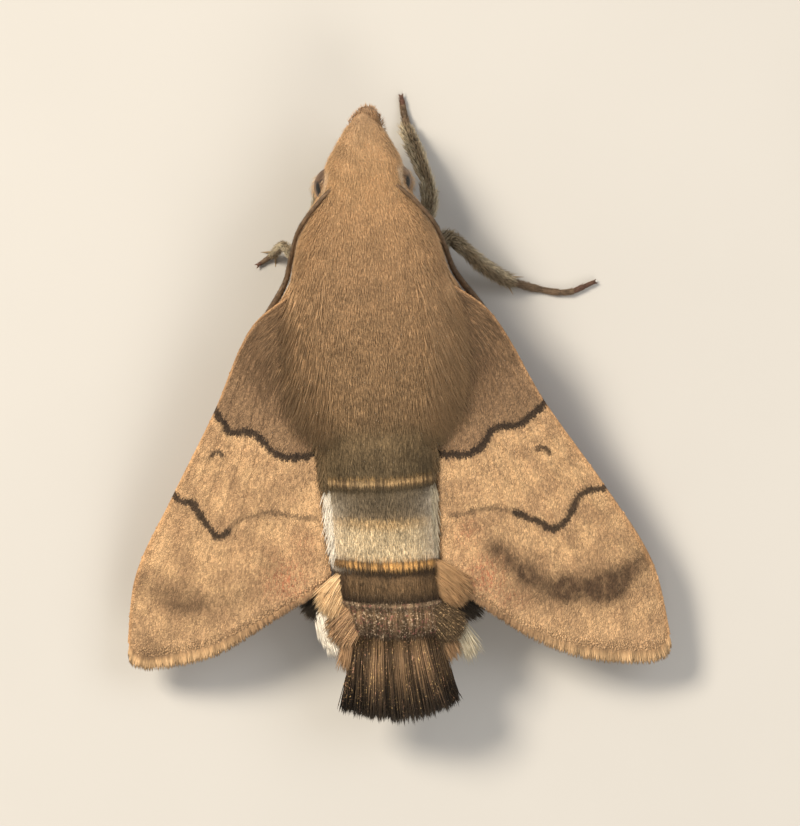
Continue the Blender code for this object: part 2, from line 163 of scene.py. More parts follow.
def lineDistance(points, line):
    # Distance to a line of points, in as many columns as it has, and for a flat line on which side of it
    size = line.shape[1]
    spots = points[:, :size]
    best, sign = np.full(len(spots), 1e9), np.ones(len(spots))
    for a, b in zip(line, line[1:]):
        run = b - a
        share = np.clip(((spots - a) @ run) / run.dot(run), 0, 1)
        apart = spots - (a + share[:, None] * run)
        gap = np.linalg.norm(apart, axis=1)
        if size == 2:
            sign = np.where(gap < best, np.sign(run[0] * apart[:, 1] - run[1] * apart[:, 0]), sign)
        best = np.where(gap < best, gap, best)
    return best, sign


def gridFaces(rows, columns, closed=False, start=0, turned=False):
    # Quads of a grid whose points run along each row first
    faces = []
    for r in range(rows - 1):
        for c in range(columns if closed else columns - 1):
            a, b = start + r * columns + c, start + r * columns + (c + 1) % columns
            quad = (a, b, b + columns, a + columns)
            faces.append(quad[::-1] if turned else quad)
    return faces


def closeRings(rings, poles):
    # A closed shell from rings of points, with a pole at each end
    sides = len(rings[0])
    first = len(rings) * sides
    faces = gridFaces(len(rings), sides, closed=True)
    for c in range(sides):
        n = (c + 1) % sides
        faces += [(first, n, c), (first + 1, first - sides + c, first - sides + n)]
    return np.concatenate([*rings, poles]), faces


def sweep(path, radii, sides):
    # A closed tube along a path
    along = unit(np.gradient(path, axis=0))
    across = np.cross(along[0], (0.0, 0.0, 1.0))
    if np.linalg.norm(across) < 0.1:  # a path that starts upright
        across = np.array((1.0, 0.0, 0.0))
    across = unit(across)
    turn = np.linspace(0, 2 * np.pi, sides, endpoint=False)[:, None]
    rings = []
    for place, heading, radius in zip(path, along, radii):
        across = unit(across - heading * across.dot(heading))
        rings.append(place + radius * (np.cos(turn) * across + np.sin(turn) * np.cross(across, heading)))
    poles = [path[0] - along[0] * radii[0] * 0.5, path[-1] + along[-1] * radii[-1] * 0.5]
    return closeRings(rings, poles)


def joinShells(shells):
    points, faces, start = [], [], 0
    for shell in shells:
        points.append(shell[0])
        faces += [tuple(i + start for i in face) for face in shell[1]]
        start += len(shell[0])
    return np.concatenate(points), faces


def readAll(items, key):
    values = np.zeros(len(items) * 3)
    items.foreach_get(key, values)
    return values.reshape(-1, 3)


def addFields(mesh, fields):
    for key, values in fields.items():
        values = np.asarray(values, np.float32)
        kind, part = ("FLOAT_VECTOR", "vector") if values.ndim == 2 else ("FLOAT", "value")
        mesh.attributes.new(key, kind, "POINT").data.foreach_set(part, values.ravel())


def addUnwrap(mesh, places):
    # places holds one pair for each vertex; faces over the seam are unrolled past its end
    layer = mesh.uv_layers.new(name="OFBake")
    corners = np.zeros(len(mesh.loops), np.int32)
    mesh.loops.foreach_get("vertex_index", corners)
    starts = np.zeros(len(mesh.polygons), np.int32)
    mesh.polygons.foreach_get("loop_start", starts)
    spots = np.array(places)[corners]
    across = spots[:, 0]
    reach = np.maximum.reduceat(across, starts) - np.minimum.reduceat(across, starts)
    overSeam = np.repeat(reach > 0.5, np.diff(np.append(starts, len(corners))))
    spots[:, 0] = np.where(overSeam & (across < 0.5), across + 1, across) * 0.97
    layer.data.foreach_set("uv", spots.astype(np.float32).ravel())


def makeMesh(name, points, faces, fields, places=None):
    # A surface, or a plain line where there are no faces
    mesh = bpy.data.meshes.new(name)
    edges = [] if faces else [(i, i + 1) for i in range(len(points) - 1)]
    mesh.from_pydata(((points + shift) * mm).tolist(), edges, faces)
    addFields(mesh, fields)
    if places is not None:
        addUnwrap(mesh, places)
    mesh.shade_smooth()
    return mesh


def makePiece(name, slot, mesh, finish=None, *nodes):
    made = addObject(name, mesh)
    if finish:
        mesh.materials.append(finish)
    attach(made, "root")
    if nodes:
        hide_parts(*nodes)


def addNode(tree, kind, wires=(), **settings):
    # wires gives the live inputs, by name or in order, each a socket to link or a plain value
    made = tree.nodes.new(kind)
    for key, value in settings.items():
        setattr(made, key, value)
    live = [socket for socket in made.inputs if socket.enabled]
    if isinstance(wires, dict):
        named = {socket.name: socket for socket in live}
        live, wires = [named[key] for key in wires], wires.values()
    for socket, value in zip(live, wires):
        if isinstance(value, bpy.types.NodeSocket):
            tree.links.new(value, socket)
        else:
            socket.default_value = value
    return made


def put(tree, kind, wires=(), **settings):
    # The same, for the node's first live output
    made = addNode(tree, kind, wires, **settings)
    return next(socket for socket in made.outputs if socket.enabled)


def tone(colour):
    # A colour as seen on a screen, 0 to 255, as linear light
    light = [part / 255 for part in colour]
    return (*(((part + 0.055) / 1.055) ** 2.4 if part > 0.04 else part / 12.92 for part in light), 1.0)


class Finish:
    # A material, with its colour laid on step by step; colours are given as for tone
    def __init__(self, name, roughness, sheen=0.0, specular=0.3):
        self.material = bpy.data.materials.new(name)
        self.material.use_nodes = True
        self.tree = self.material.node_tree
        self.inputs = self.tree.nodes["Principled BSDF"].inputs
        for label, value in (
            ("Roughness", roughness), ("Sheen Weight", sheen), ("Sheen Roughness", 0.5),
            ("Sheen Tint", tone((255, 226, 186))), ("Specular IOR Level", specular),
        ):
            self.inputs[label].default_value = value

    def read(self, name, output="Fac"):
        return addNode(self.tree, "ShaderNodeAttribute", attribute_name=name).outputs[output]

    def axes(self, name):
        return addNode(self.tree, "ShaderNodeSeparateXYZ", (self.read(name, "Vector"),)).outputs

    def work(self, operation, *values):
        return put(self.tree, "ShaderNodeMath", values, operation=operation)

    def times(self, *values):
        return self.work("MULTIPLY", *values)

    def between(self, value, low, high, toLow=0.0, toHigh=1.0, way="SMOOTHSTEP"):
        return put(self.tree, "ShaderNodeMapRange", (value, low, high, toLow, toHigh), interpolation_type=way)

    def noise(self, scale, detail, place=None):
        if place is None:
            place = addNode(self.tree, "ShaderNodeTexCoord").outputs["Object"]
        return put(self.tree, "ShaderNodeTexNoise", {"Vector": place, "Scale": scale, "Detail": detail})

    def stretched(self, place, scale):
        # Soft noise on a place that is stretched by a triple
        place = put(self.tree, "ShaderNodeVectorMath", (place, scale), operation="MULTIPLY")
        return self.noise(1.0, 2.0, place)

    def mixNumbers(self, share, first, second):
        return put(self.tree, "ShaderNodeMix", (share, first, second), data_type="FLOAT")

    def mix(self, share, first, second, blend="MIX"):
        pair = [tone(colour) if isinstance(colour, tuple) else colour for colour in (first, second)]
        return put(self.tree, "ShaderNodeMix", (share, *pair), data_type="RGBA", blend_type=blend)

    def bands(self, place, rows):
        # A colour for each place along a line, read between the given rows
        rows = sorted(rows)
        low, high = rows[0][0], rows[-1][0]
        ramp = addNode(self.tree, "ShaderNodeValToRGB", (self.between(place, low, high, way="LINEAR"),))
        stops = ramp.color_ramp.elements
        while len(stops) < len(rows):
            stops.new(1.0)
        for stop, (at, colour) in zip(stops, rows):
            stop.position = (at - low) / (high - low)
        for stop, (at, colour) in zip(stops, rows):
            stop.color = tone(colour)
        return ramp.outputs["Color"]

    def start(self, share, first, second):
        self.colour = self.mix(share, first, second)

    def over(self, share, colour):
        self.colour = self.mix(share, self.colour, colour)

    def shadeBy(self, amount):
        # Multiplies the colour by a number
        grey = put(self.tree, "ShaderNodeCombineColor", (amount, amount, amount))
        self.colour = self.mix(1.0, self.colour, grey, "MULTIPLY")

    def shade(self, value, *spans, way="SMOOTHSTEP"):
        self.shadeBy(self.between(value, *spans, way=way))

    def shadeTint(self, low, high):
        # Each tuft has a tint of its own, from 0 to 1
        self.shade(self.read("tint"), 0, 1, low, high, way="LINEAR")

    def bump(self, height, distance, strength=0.6):
        wires = {"Strength": strength, "Distance": distance, "Height": height}
        self.tree.links.new(put(self.tree, "ShaderNodeBump", wires), self.inputs["Normal"])

    def done(self):
        self.tree.links.new(self.colour, self.inputs["Base Color"])
        return self.material


# Tuft shapes: one hair or scale each, one unit long along +Y with its back to +Z, and pointed at both ends
tuftPlan = {
    # half widths at shares of the length, curl of each variant, thickness, sway of each variant
    "fur": (((0.42, 0.027),), (-0.02, -0.07, -0.12, -0.05), 0.018),
    "hair": (((0.40, 0.0145),), (-0.02, -0.07, -0.12, -0.05), 0.012),
    "short": (((0.35, 0.030),), (-0.04, -0.08, 0.0), 0.026),
    "fringe": (((0.60, 0.050),), (-0.05, -0.09, -0.02), 0.020),
    "comb": (((0.70, 0.045),), (-0.04, 0.03, -0.01), 0.020),
    "brush": (
        ((0.45, 0.0085), (0.92, 0.006)), (-0.03, 0.03, -0.06, -0.01), 0.008, (0.03, -0.035, 0.05, -0.02),
    ),
    "flat": (((0.55, 0.060),), (-0.05, -0.12, 0.02), 0.030),
    "lockRight": (
        ((0.40, 0.0105), (0.86, 0.0065)), (-0.04, 0.03, -0.08, 0.0), 0.009, (0.04, 0.14, 0.08, 0.20),
    ),
    "lockLeft": (
        ((0.40, 0.0105), (0.86, 0.0065)), (-0.04, 0.03, -0.08, 0.0), 0.009, (-0.04, -0.14, -0.08, -0.20),
    ),
    "scale": (((0.72, 0.27),), (-0.03, -0.07, 0.0), 0.06),
}


def makeTufts(kind):
    # A collection of variants of one tuft, kept out of the scene
    profile, curls, thickness, *sways = tuftPlan[kind]
    shelf = bpy.data.collections.new(kind)
    base = 3 * len(profile) - 2
    faces = [(0, 1 + (c + 1) % 3, 1 + c) for c in range(3)] + gridFaces(len(profile), 3, closed=True, start=1)
    faces += [(base + c, base + (c + 1) % 3, base + 3) for c in range(3)]
    widest = max(half for share, half in profile)
    for number, curl in enumerate(curls):
        sway = sways[0][number] if sways else 0.0
        points = [(0.0, 0.0, 0.0)]
        for share, half in profile:
            aside, height = sway * share**2, curl * share**2
            points += [(aside + half * turn, share, height) for turn in (-1, 1)]
            points.append((aside, share, height + thickness))
        points.append((sway, 1.0, curl))
        mesh = bpy.data.meshes.new(kind + str(number))
        mesh.from_pydata(points, [], [face[::-1] for face in faces])
        places = [(0.5 + (x - sway * y**2) / widest / 2, y, 0.0) for x, y, z in points]
        addFields(mesh, {"along": [y for x, y, z in points], "tuftPlace": places})
        mesh.shade_smooth()
        shelf.objects.link(bpy.data.objects.new(mesh.name, mesh))
    return shelf


shelves = {kind: makeTufts(kind) for kind in tuftPlan}

# Growing: one tree sets tufts on a surface, another along a line. Both read these fields of their host: lie,
# the way a tuft points; up, the way its back faces; coatLength and coatDensity, shares of the inputs.
growPlan = {"patch": 0.003, "seed": 11, "sizeSpread": 0.24, "quickShare": 0.35}


def makeTree(ground, amount):
    tree = bpy.data.node_groups.new("tufts on a " + ground.lower(), "GeometryNodeTree")
    for label, kind, value in (
        (ground, "Geometry", None), ("Tufts", "Collection", None), amount, ("Length", "Float", mm),
        ("Stray", "Float", 0.1), ("Seed", "Int", growPlan["seed"]), ("Material", "Material", None),
    ):
        socket = tree.interface.new_socket(label, in_out="INPUT", socket_type="NodeSocket" + kind)
        if value is not None:
            socket.default_value = value
    tree.interface.new_socket("Coat", in_out="OUTPUT", socket_type="NodeSocketGeometry")
    given = addNode(tree, "NodeGroupInput").outputs

    def read(name, kind="FLOAT_VECTOR"):
        return put(tree, "GeometryNodeInputNamedAttribute", {"Name": name}, data_type=kind)

    def vectors(operation, *values):
        return put(tree, "ShaderNodeVectorMath", values, operation=operation)

    def times(*values):
        return put(tree, "ShaderNodeMath", values, operation="MULTIPLY")

    def randomOf(kind, low, high, seed):
        return put(tree, "FunctionNodeRandomValue", {"Min": low, "Max": high, "Seed": seed}, data_type=kind)

    def turned(axis, wires, **settings):
        return put(tree, "FunctionNodeAlignRotationToVector", wires, axis=axis, **settings)

    def store(onto, name, value, kind, domain="POINT"):
        wires = {"Geometry": onto, "Name": name, "Value": value}
        return put(tree, "GeometryNodeStoreNamedAttribute", wires, data_type=kind, domain=domain)

    if ground == "Surface":
        points = put(tree, "GeometryNodeDistributePointsOnFaces", {
            "Mesh": given["Surface"], "Density": times(given["Density"], read("coatDensity", "FLOAT")),
            "Seed": given["Seed"],
        })
    else:
        curve = put(tree, "GeometryNodeMeshToCurve", {"Mesh": given["Line"]})
        points = put(tree, "GeometryNodeCurveToPoints", {"Curve": curve, "Count": given["Count"]})
    stray = randomOf("FLOAT_VECTOR", (-1, -1, -1), (1, 1, 1), given["Seed"])
    heading = vectors("ADD", read("lie"), vectors("SCALE", stray, given["Stray"]))
    facing = turned("Z", {"Rotation": turned("Y", {"Vector": heading}), "Vector": read("up")}, pivot_axis="Y")
    spread, seed = growPlan["sizeSpread"], growPlan["seed"]
    size = times(randomOf("FLOAT", 1 - spread, 1 + spread, given["Seed"]), given["Length"])
    size = times(size, read("coatLength", "FLOAT"))
    points = store(points, "tint", randomOf("FLOAT", 0.0, 1.0, seed), "FLOAT")
    points = store(points, "rootUnwrap", read("OFBake"), "FLOAT_VECTOR")
    points = put(tree, "GeometryNodeRemoveAttribute", {"Geometry": points, "Name": "OFBake"})
    kinds = put(tree, "GeometryNodeCollectionInfo", {
        "Collection": given["Tufts"], "Separate Children": True, "Reset Children": True,
    })
    placed = put(tree, "GeometryNodeInstanceOnPoints", {
        "Points": points, "Instance": kinds, "Pick Instance": True,
        "Instance Index": randomOf("INT", 0, 11, seed + 1), "Rotation": facing, "Scale": size,
    })
    solid = put(tree, "GeometryNodeRealizeInstances", {"Geometry": placed})
    # Each tuft's patch of the unwrap, about its root's place
    patch = vectors("SCALE", vectors("SUBTRACT", read("tuftPlace"), (0.5, 0.5, 0.0)), growPlan["patch"])
    mapped = store(solid, "OFBake", vectors("ADD", read("rootUnwrap"), patch), "FLOAT2", "CORNER")
    painted = put(tree, "GeometryNodeSetMaterial", {"Geometry": mapped, "Material": given["Material"]})
    addNode(tree, "NodeGroupOutput", {"Coat": painted})
    return tree


surfaceTree = makeTree("Surface", ("Density", "Float", 1e7))
lineTree = makeTree("Line", ("Count", "Int", 100))


def grow(name, slot, host, tuft, amount, finish, length=1.0, stray=0.1, seed=1):
    # Grows tufts on a host mesh and keeps them as a plain mesh. Along a line, amount is a count.
    tree = surfaceTree if host.polygons else lineTree
    values = {
        "Tufts": shelves[tuft], "Density": amount * 1.0,
        "Count": amount, "Length": length * mm, "Stray": stray, "Seed": seed, "Material": finish,
    }
    holder = addObject(name + "Host", host)
    grower = holder.modifiers.new("Grow", "NODES")
    grower.node_group = tree
    for item in tree.interface.items_tree:
        if item.in_out == "INPUT" and item.name in values:
            grower[item.identifier] = values[item.name]
    mesh = bpy.data.meshes.new_from_object(holder.evaluated_get(bpy.context.evaluated_depsgraph_get()))
    holder.modifiers.remove(grower)
    bpy.data.objects.remove(holder, do_unlink=True)
    bpy.data.meshes.remove(host)
    mesh.name = name
    for spare in ("lie", "up", "coatLength", "coatDensity", "rootUnwrap", "tuftPlace"):
        if spare in mesh.attributes:
            mesh.attributes.remove(mesh.attributes[spare])
    makePiece(name, slot, mesh)
    print(name, sum(len(face.vertices) - 2 for face in mesh.polygons), "triangles")


# Body: the solids' own sections, read again here so that the skin lies inside them
bodyPlan = {
    "roundness": 2.2,
    # place along Y, bend, half width, top, belly
    "stations": (
        (14.5, 0.22, 0.30, 4.90, 4.40), (13.6, 0.22, 1.05, 5.45, 3.60), (12.0, 0.10, 1.80, 6.25, 2.90),
        (10.8, 0.02, 2.25, 6.65, 2.65), (9.5, 0.00, 2.92, 7.10, 2.30), (8.0, 0.00, 3.55, 7.75, 1.90),
        (6.0, 0.00, 4.15, 8.25, 1.50), (3.0, 0.00, 4.30, 8.40, 1.35), (0.0, -0.05, 3.70, 7.80, 1.50),
        (-2.0, -0.18, 3.10, 7.10, 1.60), (-6.0, -0.25, 2.85, 6.60, 1.60), (-9.0, -0.20, 2.75, 6.20, 1.70),
        (-11.8, 0.10, 2.20, 5.50, 2.40), (-13.2, 0.12, 1.60, 4.75, 3.20), (-13.9, 0.12, 0.90, 4.40, 3.60),
    ),
    "ends": (-13.6, 14.4),  # the sections are read no further than this
    "coatDepth": (
        (15, 0.06), (12.5, 0.09), (10, 0.19), (7, 0.28), (0, 0.28), (-2, 0.21), (-11, 0.22), (-14, 0.2),
    ),
    "segments": (-1.3, -4.05, -8.25, -10.05, -11.5),  # each ring of the abdomen laps over the next
    "segmentStep": 0.075,
    "ringCurve": 0.26,
    "skin": {"from": 14.45, "to": -13.85, "rings": 210, "sides": 56, "voxel": 0.13, "softening": 4},
    # the two palps that close the snout: middle, half the gap, place along Y, height
    "palp": (
        (0.26, 0.56, 12.6, 3.25), (0.32, 0.48, 13.8, 3.55), (0.42, 0.28, 14.45, 4.05),
        (0.48, 0.12, 14.80, 4.45),
    ),
    "palpRadii": (0.42, 0.44, 0.34, 0.14),
    # a brow over each eye and a cheek below it: middle, radius
    "sockets": (((1.34, 11.05, 4.80), 0.84), ((1.74, 11.0, 3.66), 0.76)),
}


def bodyAt(y):
    rows = np.array(bodyPlan["stations"])
    return smoothRead(-rows[:, 0], rows[:, 1:], -np.atleast_1d(y)).T


def bodyPoint(y, degrees, lift=0.0, side=1):
    # Points on the solids' surface, or lift outside it, and the ways they face. Degrees count from one flank,
    # and 90 is the back.
    y, degrees = np.broadcast_arrays(np.atleast_1d(np.asarray(y, float)), degrees)
    bend, half, top, belly = bodyAt(y)
    high = (top - belly) / 2
    angle = np.radians(degrees)
    power = 2 / bodyPlan["roundness"]
    across = np.sign(np.cos(angle)) * np.abs(np.cos(angle)) ** power
    above = np.sign(np.sin(angle)) * np.abs(np.sin(angle)) ** power
    normal = unit(together(np.cos(angle) / half, 0.0, np.sin(angle) / high))
    spot = together(half * across, y, (top + belly) / 2 + high * above) + normal * np.asarray(lift)
    turn = np.array((side, 1, 1))
    return spot * turn + together(bend, 0.0, 0.0), normal * turn


def bodySide(y, z, side):
    # How far the body reaches to one side
    bend, half, top, belly = bodyAt(y)
    share = np.clip(np.abs(z - (top + belly) / 2) / ((top - belly) / 2), 0, 0.999)
    return half * (1 - share ** bodyPlan["roundness"]) ** (1 / bodyPlan["roundness"]) + side * bend


def bandPlace(points):
    # The place along the body that the rings count by: they curve towards the tail in their middle and lean
    x, y = points[:, 0], points[:, 1]
    bend, half = bodyAt(np.clip(y, *bodyPlan["ends"]))[:2]
    lean = np.interp(y, (-6.5, -4.5, -2.5), (0.070, 0.030, 0.0))
    curve = bodyPlan["ringCurve"] * step(-1.5, -4.0, y)
    return y + lean * (x - bend) - curve * np.clip((x - bend) / half, -1, 1) ** 2


def segmentSwell(y):
    # Rises towards each segment's end and falls back just behind it
    swell = np.zeros_like(y)
    ends = bodyPlan["segments"]
    for start, end in zip(ends, ends[1:]):
        swell += step(start, end, y) * (y > end) + step(end - 0.14, end, y) * (y <= end)
    return swell * bodyPlan["segmentStep"] * (y < ends[0])


def headSwell(points):
    # The coat is thin on the cheeks and on the sides of the neck, so the skin is nearer to the solids there
    cheeks = hump(11.9, 1.15, points[:, 1]) * step(2.6, 4.2, points[:, 2])
    neck = hump(8.6, 1.9, points[:, 1]) * hump(4.4, 1.7, points[:, 2])
    return 0.17 * np.maximum(cheeks, neck)


def skinShells():
    skin = bodyPlan["skin"]
    turn = np.linspace(0, 360, skin["sides"], endpoint=False)
    rings = []
    for y in np.linspace(skin["from"], skin["to"], skin["rings"]):
        ys = np.full(len(turn), y)
        flat = bodyPoint(ys, turn)[0]
        lift = segmentSwell(bandPlace(flat)) - readRows(bodyPlan["coatDepth"], y) + headSwell(flat)
        rings.append(bodyPoint(ys, turn, lift[:, None])[0])
    shells = [closeRings(rings, [rings[0].mean(axis=0) + (0, 0.1, 0), rings[-1].mean(axis=0) - (0, 0.1, 0)])]
    for side in (1, -1):
        path = [(middle + side * apart, y, z) for middle, apart, y, z in bodyPlan["palp"]]
        radii = smoothRead(range(4), bodyPlan["palpRadii"], np.linspace(0, 3, 24))
        shells.append(sweep(smoothPath(path, 24), radii, 14))
    for side in (1, -1):
        for middle, radius in bodyPlan["sockets"]:
            reach = np.linspace(-0.99, 0.99, 20) * radius
            route = np.array(middle) * (side, 1, 1) + reach[:, None] * np.array((0, 1, 0))
            shells.append(sweep(route, np.sqrt(np.maximum(radius**2 - reach**2, 0.01)), 24))
    return shells


def makeSkin():
    # One closed surface around the shells, worked at a thousand times life size
    points, faces = joinShells(skinShells())
    mesh = bpy.data.meshes.new("blend")
    mesh.from_pydata(points.tolist(), [], faces)
    holder = addObject("blend", mesh)
    remesh = holder.modifiers.new("Join", "REMESH")
    remesh.mode = "VOXEL"
    remesh.voxel_size = bodyPlan["skin"]["voxel"]
    soften = holder.modifiers.new("Soften", "SMOOTH")
    soften.factor = 0.5
    soften.iterations = bodyPlan["skin"]["softening"]
    ready = bpy.data.meshes.new_from_object(holder.evaluated_get(bpy.context.evaluated_depsgraph_get()))
    spots, facing = readAll(ready.vertices, "co"), readAll(ready.vertex_normals, "vector")
    quads = [tuple(face.vertices) for face in ready.polygons]
    bpy.data.objects.remove(holder, do_unlink=True)
    bpy.data.meshes.remove(mesh)
    bpy.data.meshes.remove(ready)
    return spots, facing, quads


# The lie of the coat: how far it stands up, its length in millimetres and how it parts, by place along Y
coatPlan = {
    "lift": ((-13, 5), (-1.5, 5), (0, 6), (8, 7), (12, 8), (14.5, 8)),
    "sideLift": 13,
    "length": (
        (-13, 0.6), (-8.3, 0.56), (-4, 0.48), (-1.6, 0.54), (-0.6, 0.62), (4, 0.58), (8, 0.54), (9.5, 0.50),
        (11, 0.44), (13, 0.38), (14.5, 0.34),
    ),
    "shoulder": {"along": 3.6, "reach": 3.4, "longer": 0.55, "flare": 0.5},
    "brow": ((1.8, 11.7, 5.5), (1.92, 11.2, 5.6), (2.15, 10.6, 5.55), (2.65, 10.0, 5.4), (2.95, 9.3, 5.2)),
}


def eyePlaces(points):
    # Distance to the nearer eye's middle, and how far a point lies on the side that the eye looks to
    mirror = np.ones_like(points)
    mirror[:, 0] = np.where(points[:, 0] < 0, -1.0, 1.0)
    apart = points - mirror * eyePlan["place"]
    distance = np.linalg.norm(apart, axis=1)
    return distance, np.sum(apart * (mirror * eyePlan["looks"]), axis=1) / distance


def bodyFields(points, normals):
    x, y, z = points.T
    bend, half, top, belly = bodyAt(np.clip(y, *bodyPlan["ends"]))
    across = (x - bend) / half
    above = np.clip((z - (top + belly) / 2) / ((top - belly) / 2), -1, 1)
    plan = coatPlan["shoulder"]
    shoulder = hump(plan["along"], plan["reach"], y) * step(0.45, 0.95, np.abs(across))
    shoulder = shoulder * step(-0.5, 0.1, above)
    palps = step(13.2, 14.2, y) * step(4.5, 3.9, z)
    aside = np.sign(across) * (plan["flare"] * shoulder + 0.10 * np.abs(across) * (y > -1))
    heading = unit(together(aside, -1.0, 0.0) + palps[:, None] * np.array((0, 1.5, 1.6)))
    tangent = unit(heading - normals * np.sum(heading * normals, axis=1, keepdims=True))
    raised = coatPlan["sideLift"] * step(0.55, 0.9, np.abs(across)) * hump(10.8, 3.6, y)
    lift = np.radians(readRows(coatPlan["lift"], y) + raised)[:, None]
    eyes, outward = eyePlaces(points)
    length = readRows(coatPlan["length"], y) * (1 + plan["longer"] * shoulder)
    length *= 1 + 0.45 * step(-0.2, -0.8, above) - 0.15 * palps
    length *= 0.7 + 0.3 * step(1.0, 1.7, eyes)
    snout = step(13.0, 13.6, y)
    above = above * (1 - snout) + snout * np.clip((z - 3.75) / 0.6, -1, 1)
    # Pale marks: the white flanks, a brow line and a rim round each eye
    flank = hump(0.12, 0.50, above) * step(-3.9, -4.8, y) * step(-8.0, -7.7, y)
    brow = hump(0, 0.15, lineDistance(together(np.abs(x), y, z), smoothPath(coatPlan["brow"], 20))[0]) * 0.7
    rim = step(1.35, 1.1, eyes) * hump(0.56, 0.12, outward) * 0.35
    return {
        "lie": tangent * np.cos(lift) + normals * np.sin(lift), "up": normals, "coatLength": length,
        "coatDensity": 1 - step(1.4, 1.15, eyes) * step(0.74, 0.84, outward),
        "coatPlace": together(x, bandPlace(points), above),
        "pale": np.clip(np.maximum(flank, np.maximum(brow, rim)), 0, 1),
    }


def bodyUnwrap(points):
    # Round the body from the belly, and along it
    x, y, z = points.T
    bend, half, top, belly = bodyAt(np.clip(y, *bodyPlan["ends"]))
    turn = np.arctan2(x - bend, z - (top + belly) / 2)
    return together((turn + np.pi) / (2 * np.pi), (y + 14.2) / 29.6)


skinPoints, skinNormals, skinQuads = makeSkin()
skinFields = bodyFields(skinPoints, skinNormals)
skinPlaces = bodyUnwrap(skinPoints)
print("skin points", len(skinPoints))

# Body colours by place along Y, from the snout to the tail, as bands on the back
bodyTones = {
    "back": (
        (15.2, (180, 150, 122)), (14.5, (200, 164, 127)), (13.6, (206, 169, 128)), (11.0, (212, 172, 126)),
        (9.3, (203, 164, 121)), (6.0, (187, 151, 112)), (2.0, (176, 142, 104)), (-0.8, (163, 132, 96)),
        (-1.7, (134, 112, 81)), (-3.70, (110, 94, 69)), (-3.80, (164, 134, 90)), (-4.10, (184, 150, 104)),
        (-4.18, (140, 121, 92)), (-4.36, (86, 73, 52)), (-5.3, (98, 82, 57)), (-5.75, (126, 106, 78)),
        (-5.95, (208, 174, 122)), (-6.2, (214, 184, 136)), (-6.45, (222, 200, 160)), (-7.75, (236, 214, 174)),
        (-7.95, (214, 168, 106)), (-8.3, (202, 154, 92)), (-8.36, (60, 47, 36)), (-8.65, (102, 80, 57)),
        (-9.3, (136, 108, 76)), (-9.95, (58, 45, 34)), (-10.06, (66, 51, 39)), (-10.1, (196, 168, 134)),
        (-10.25, (134, 108, 80)), (-11.3, (122, 98, 73)), (-11.5, (86, 68, 51)), (-13.8, (64, 50, 39)),
    ),
    "belly": (
        (15.0, (184, 160, 132)), (9.0, (222, 204, 174)), (0.0, (208, 188, 156)), (-2.5, (158, 136, 106)),
        (-13.0, (118, 98, 76)),
    ),
    "pale": (246, 230, 204),
    "dark": (74, 56, 42),
    # pale and rose painted glints, laid as dots on the last ring
    "paleGlint": (232, 204, 170),
    "roseGlint": (186, 124, 110),
    "ahead": 0.30,  # a hair takes the colour of the place this far behind its root
}


def layBody(paint, ahead):
    place = paint.read("coatPlace", "Vector")
    x, y, z = paint.axes("coatPlace")
    patches = paint.work("MULTIPLY_ADD", paint.noise(0.55, 3.0, place), 0.24, -0.12 - ahead)
    along = paint.work("ADD", y, patches)

    def strip(rise, fall, top=1.0):
        return paint.times(paint.between(along, *rise), paint.between(along, *fall, 0.0, top))

    paint.colour = paint.bands(along, bodyTones["back"])
    # Streaks along the abdomen, strongest in the golden fringes, and dark corners to the second fringe
    streaks = paint.stretched(place, (7.5, 0.40, 0.40))
    golden, first = strip((-8.40, -8.30), (-7.80, -7.95)), strip((-4.20, -4.10), (-3.70, -3.82), 0.8)
    corners = paint.times(
        strip((-10.06, -9.9), (-7.80, -7.95)), paint.between(paint.work("ABSOLUTE", x), 2.05, 2.45)
    )
    dark = paint.times(paint.work("MAXIMUM", golden, first), paint.between(streaks, 0.50, 0.42))
    paint.over(paint.times(paint.work("MAXIMUM", dark, corners), 0.7), bodyTones["dark"])
    ribs = paint.between(streaks, 0.35, 0.65, 0.84, 1.16)
    paint.shadeBy(paint.mixNumbers(paint.between(along, -0.5, -2.5), 1.0, ribs))
    # The last ring is ribbed more strongly, with pale and rose dots that are painted glints
    last = strip((-10.0, -10.15), (-11.9, -11.6))
    paint.shadeBy(paint.mixNumbers(last, 1.0, paint.between(streaks, 0.36, 0.62, 0.60, 1.40)))
    glintDots = paint.times(last, paint.between(paint.noise(9500.0, 1.0), 0.54, 0.66, 0, 0.8))
    roseGlint = paint.between(paint.noise(3100.0, 1.0), 0.52, 0.56)
    paint.over(glintDots, paint.mix(roseGlint, bodyTones["paleGlint"], bodyTones["roseGlint"]))
    paint.over(paint.between(z, -0.28, -0.75), paint.bands(y, bodyTones["belly"]))
    paint.over(paint.read("pale"), bodyTones["pale"])
    paint.shade(paint.noise(1.3, 4.0, place), 0.3, 0.7, 0.86, 1.12)


def makeFurFinish():
    paint = Finish("fur", 0.75, 0.12, 0.2)
    layBody(paint, bodyTones["ahead"])
    paint.shadeTint(0.90, 1.12)
    # Painted shade: each hair darker towards its root, deep in the coat
    paint.shade(paint.read("along"), 0, 0.7, 0.90, 1.0)
    paint.shade(paint.noise(12000.0, 1.0), 0.35, 0.65, 0.86, 1.14)
    return paint.done()


def makeSkinFinish():
    paint = Finish("skin under the fur", 0.85, 0.1)
    layBody(paint, 0.0)
    # Fine grain, with the whole skin darker than the coat above it: painted shade under the fur
    grain = paint.noise(9000.0, 4.0)
    paint.shade(grain, 0.3, 0.7, 0.62, 0.88)
    paint.bump(grain, 0.00006)
    return paint.done()


furFinish = makeFurFinish()
shownFields = {key: skinFields[key] for key in ("coatPlace", "pale")}
mesh = makeMesh("bodySkin", skinPoints, skinQuads, shownFields, skinPlaces)
makePiece(
    "bodySkin", "body_fur", mesh, makeSkinFinish(),
    "head", "thorax", "abdomen_1", "abdomen_2", "abdomen_3", "tail_fan", "palp_left", "palp_right",
)

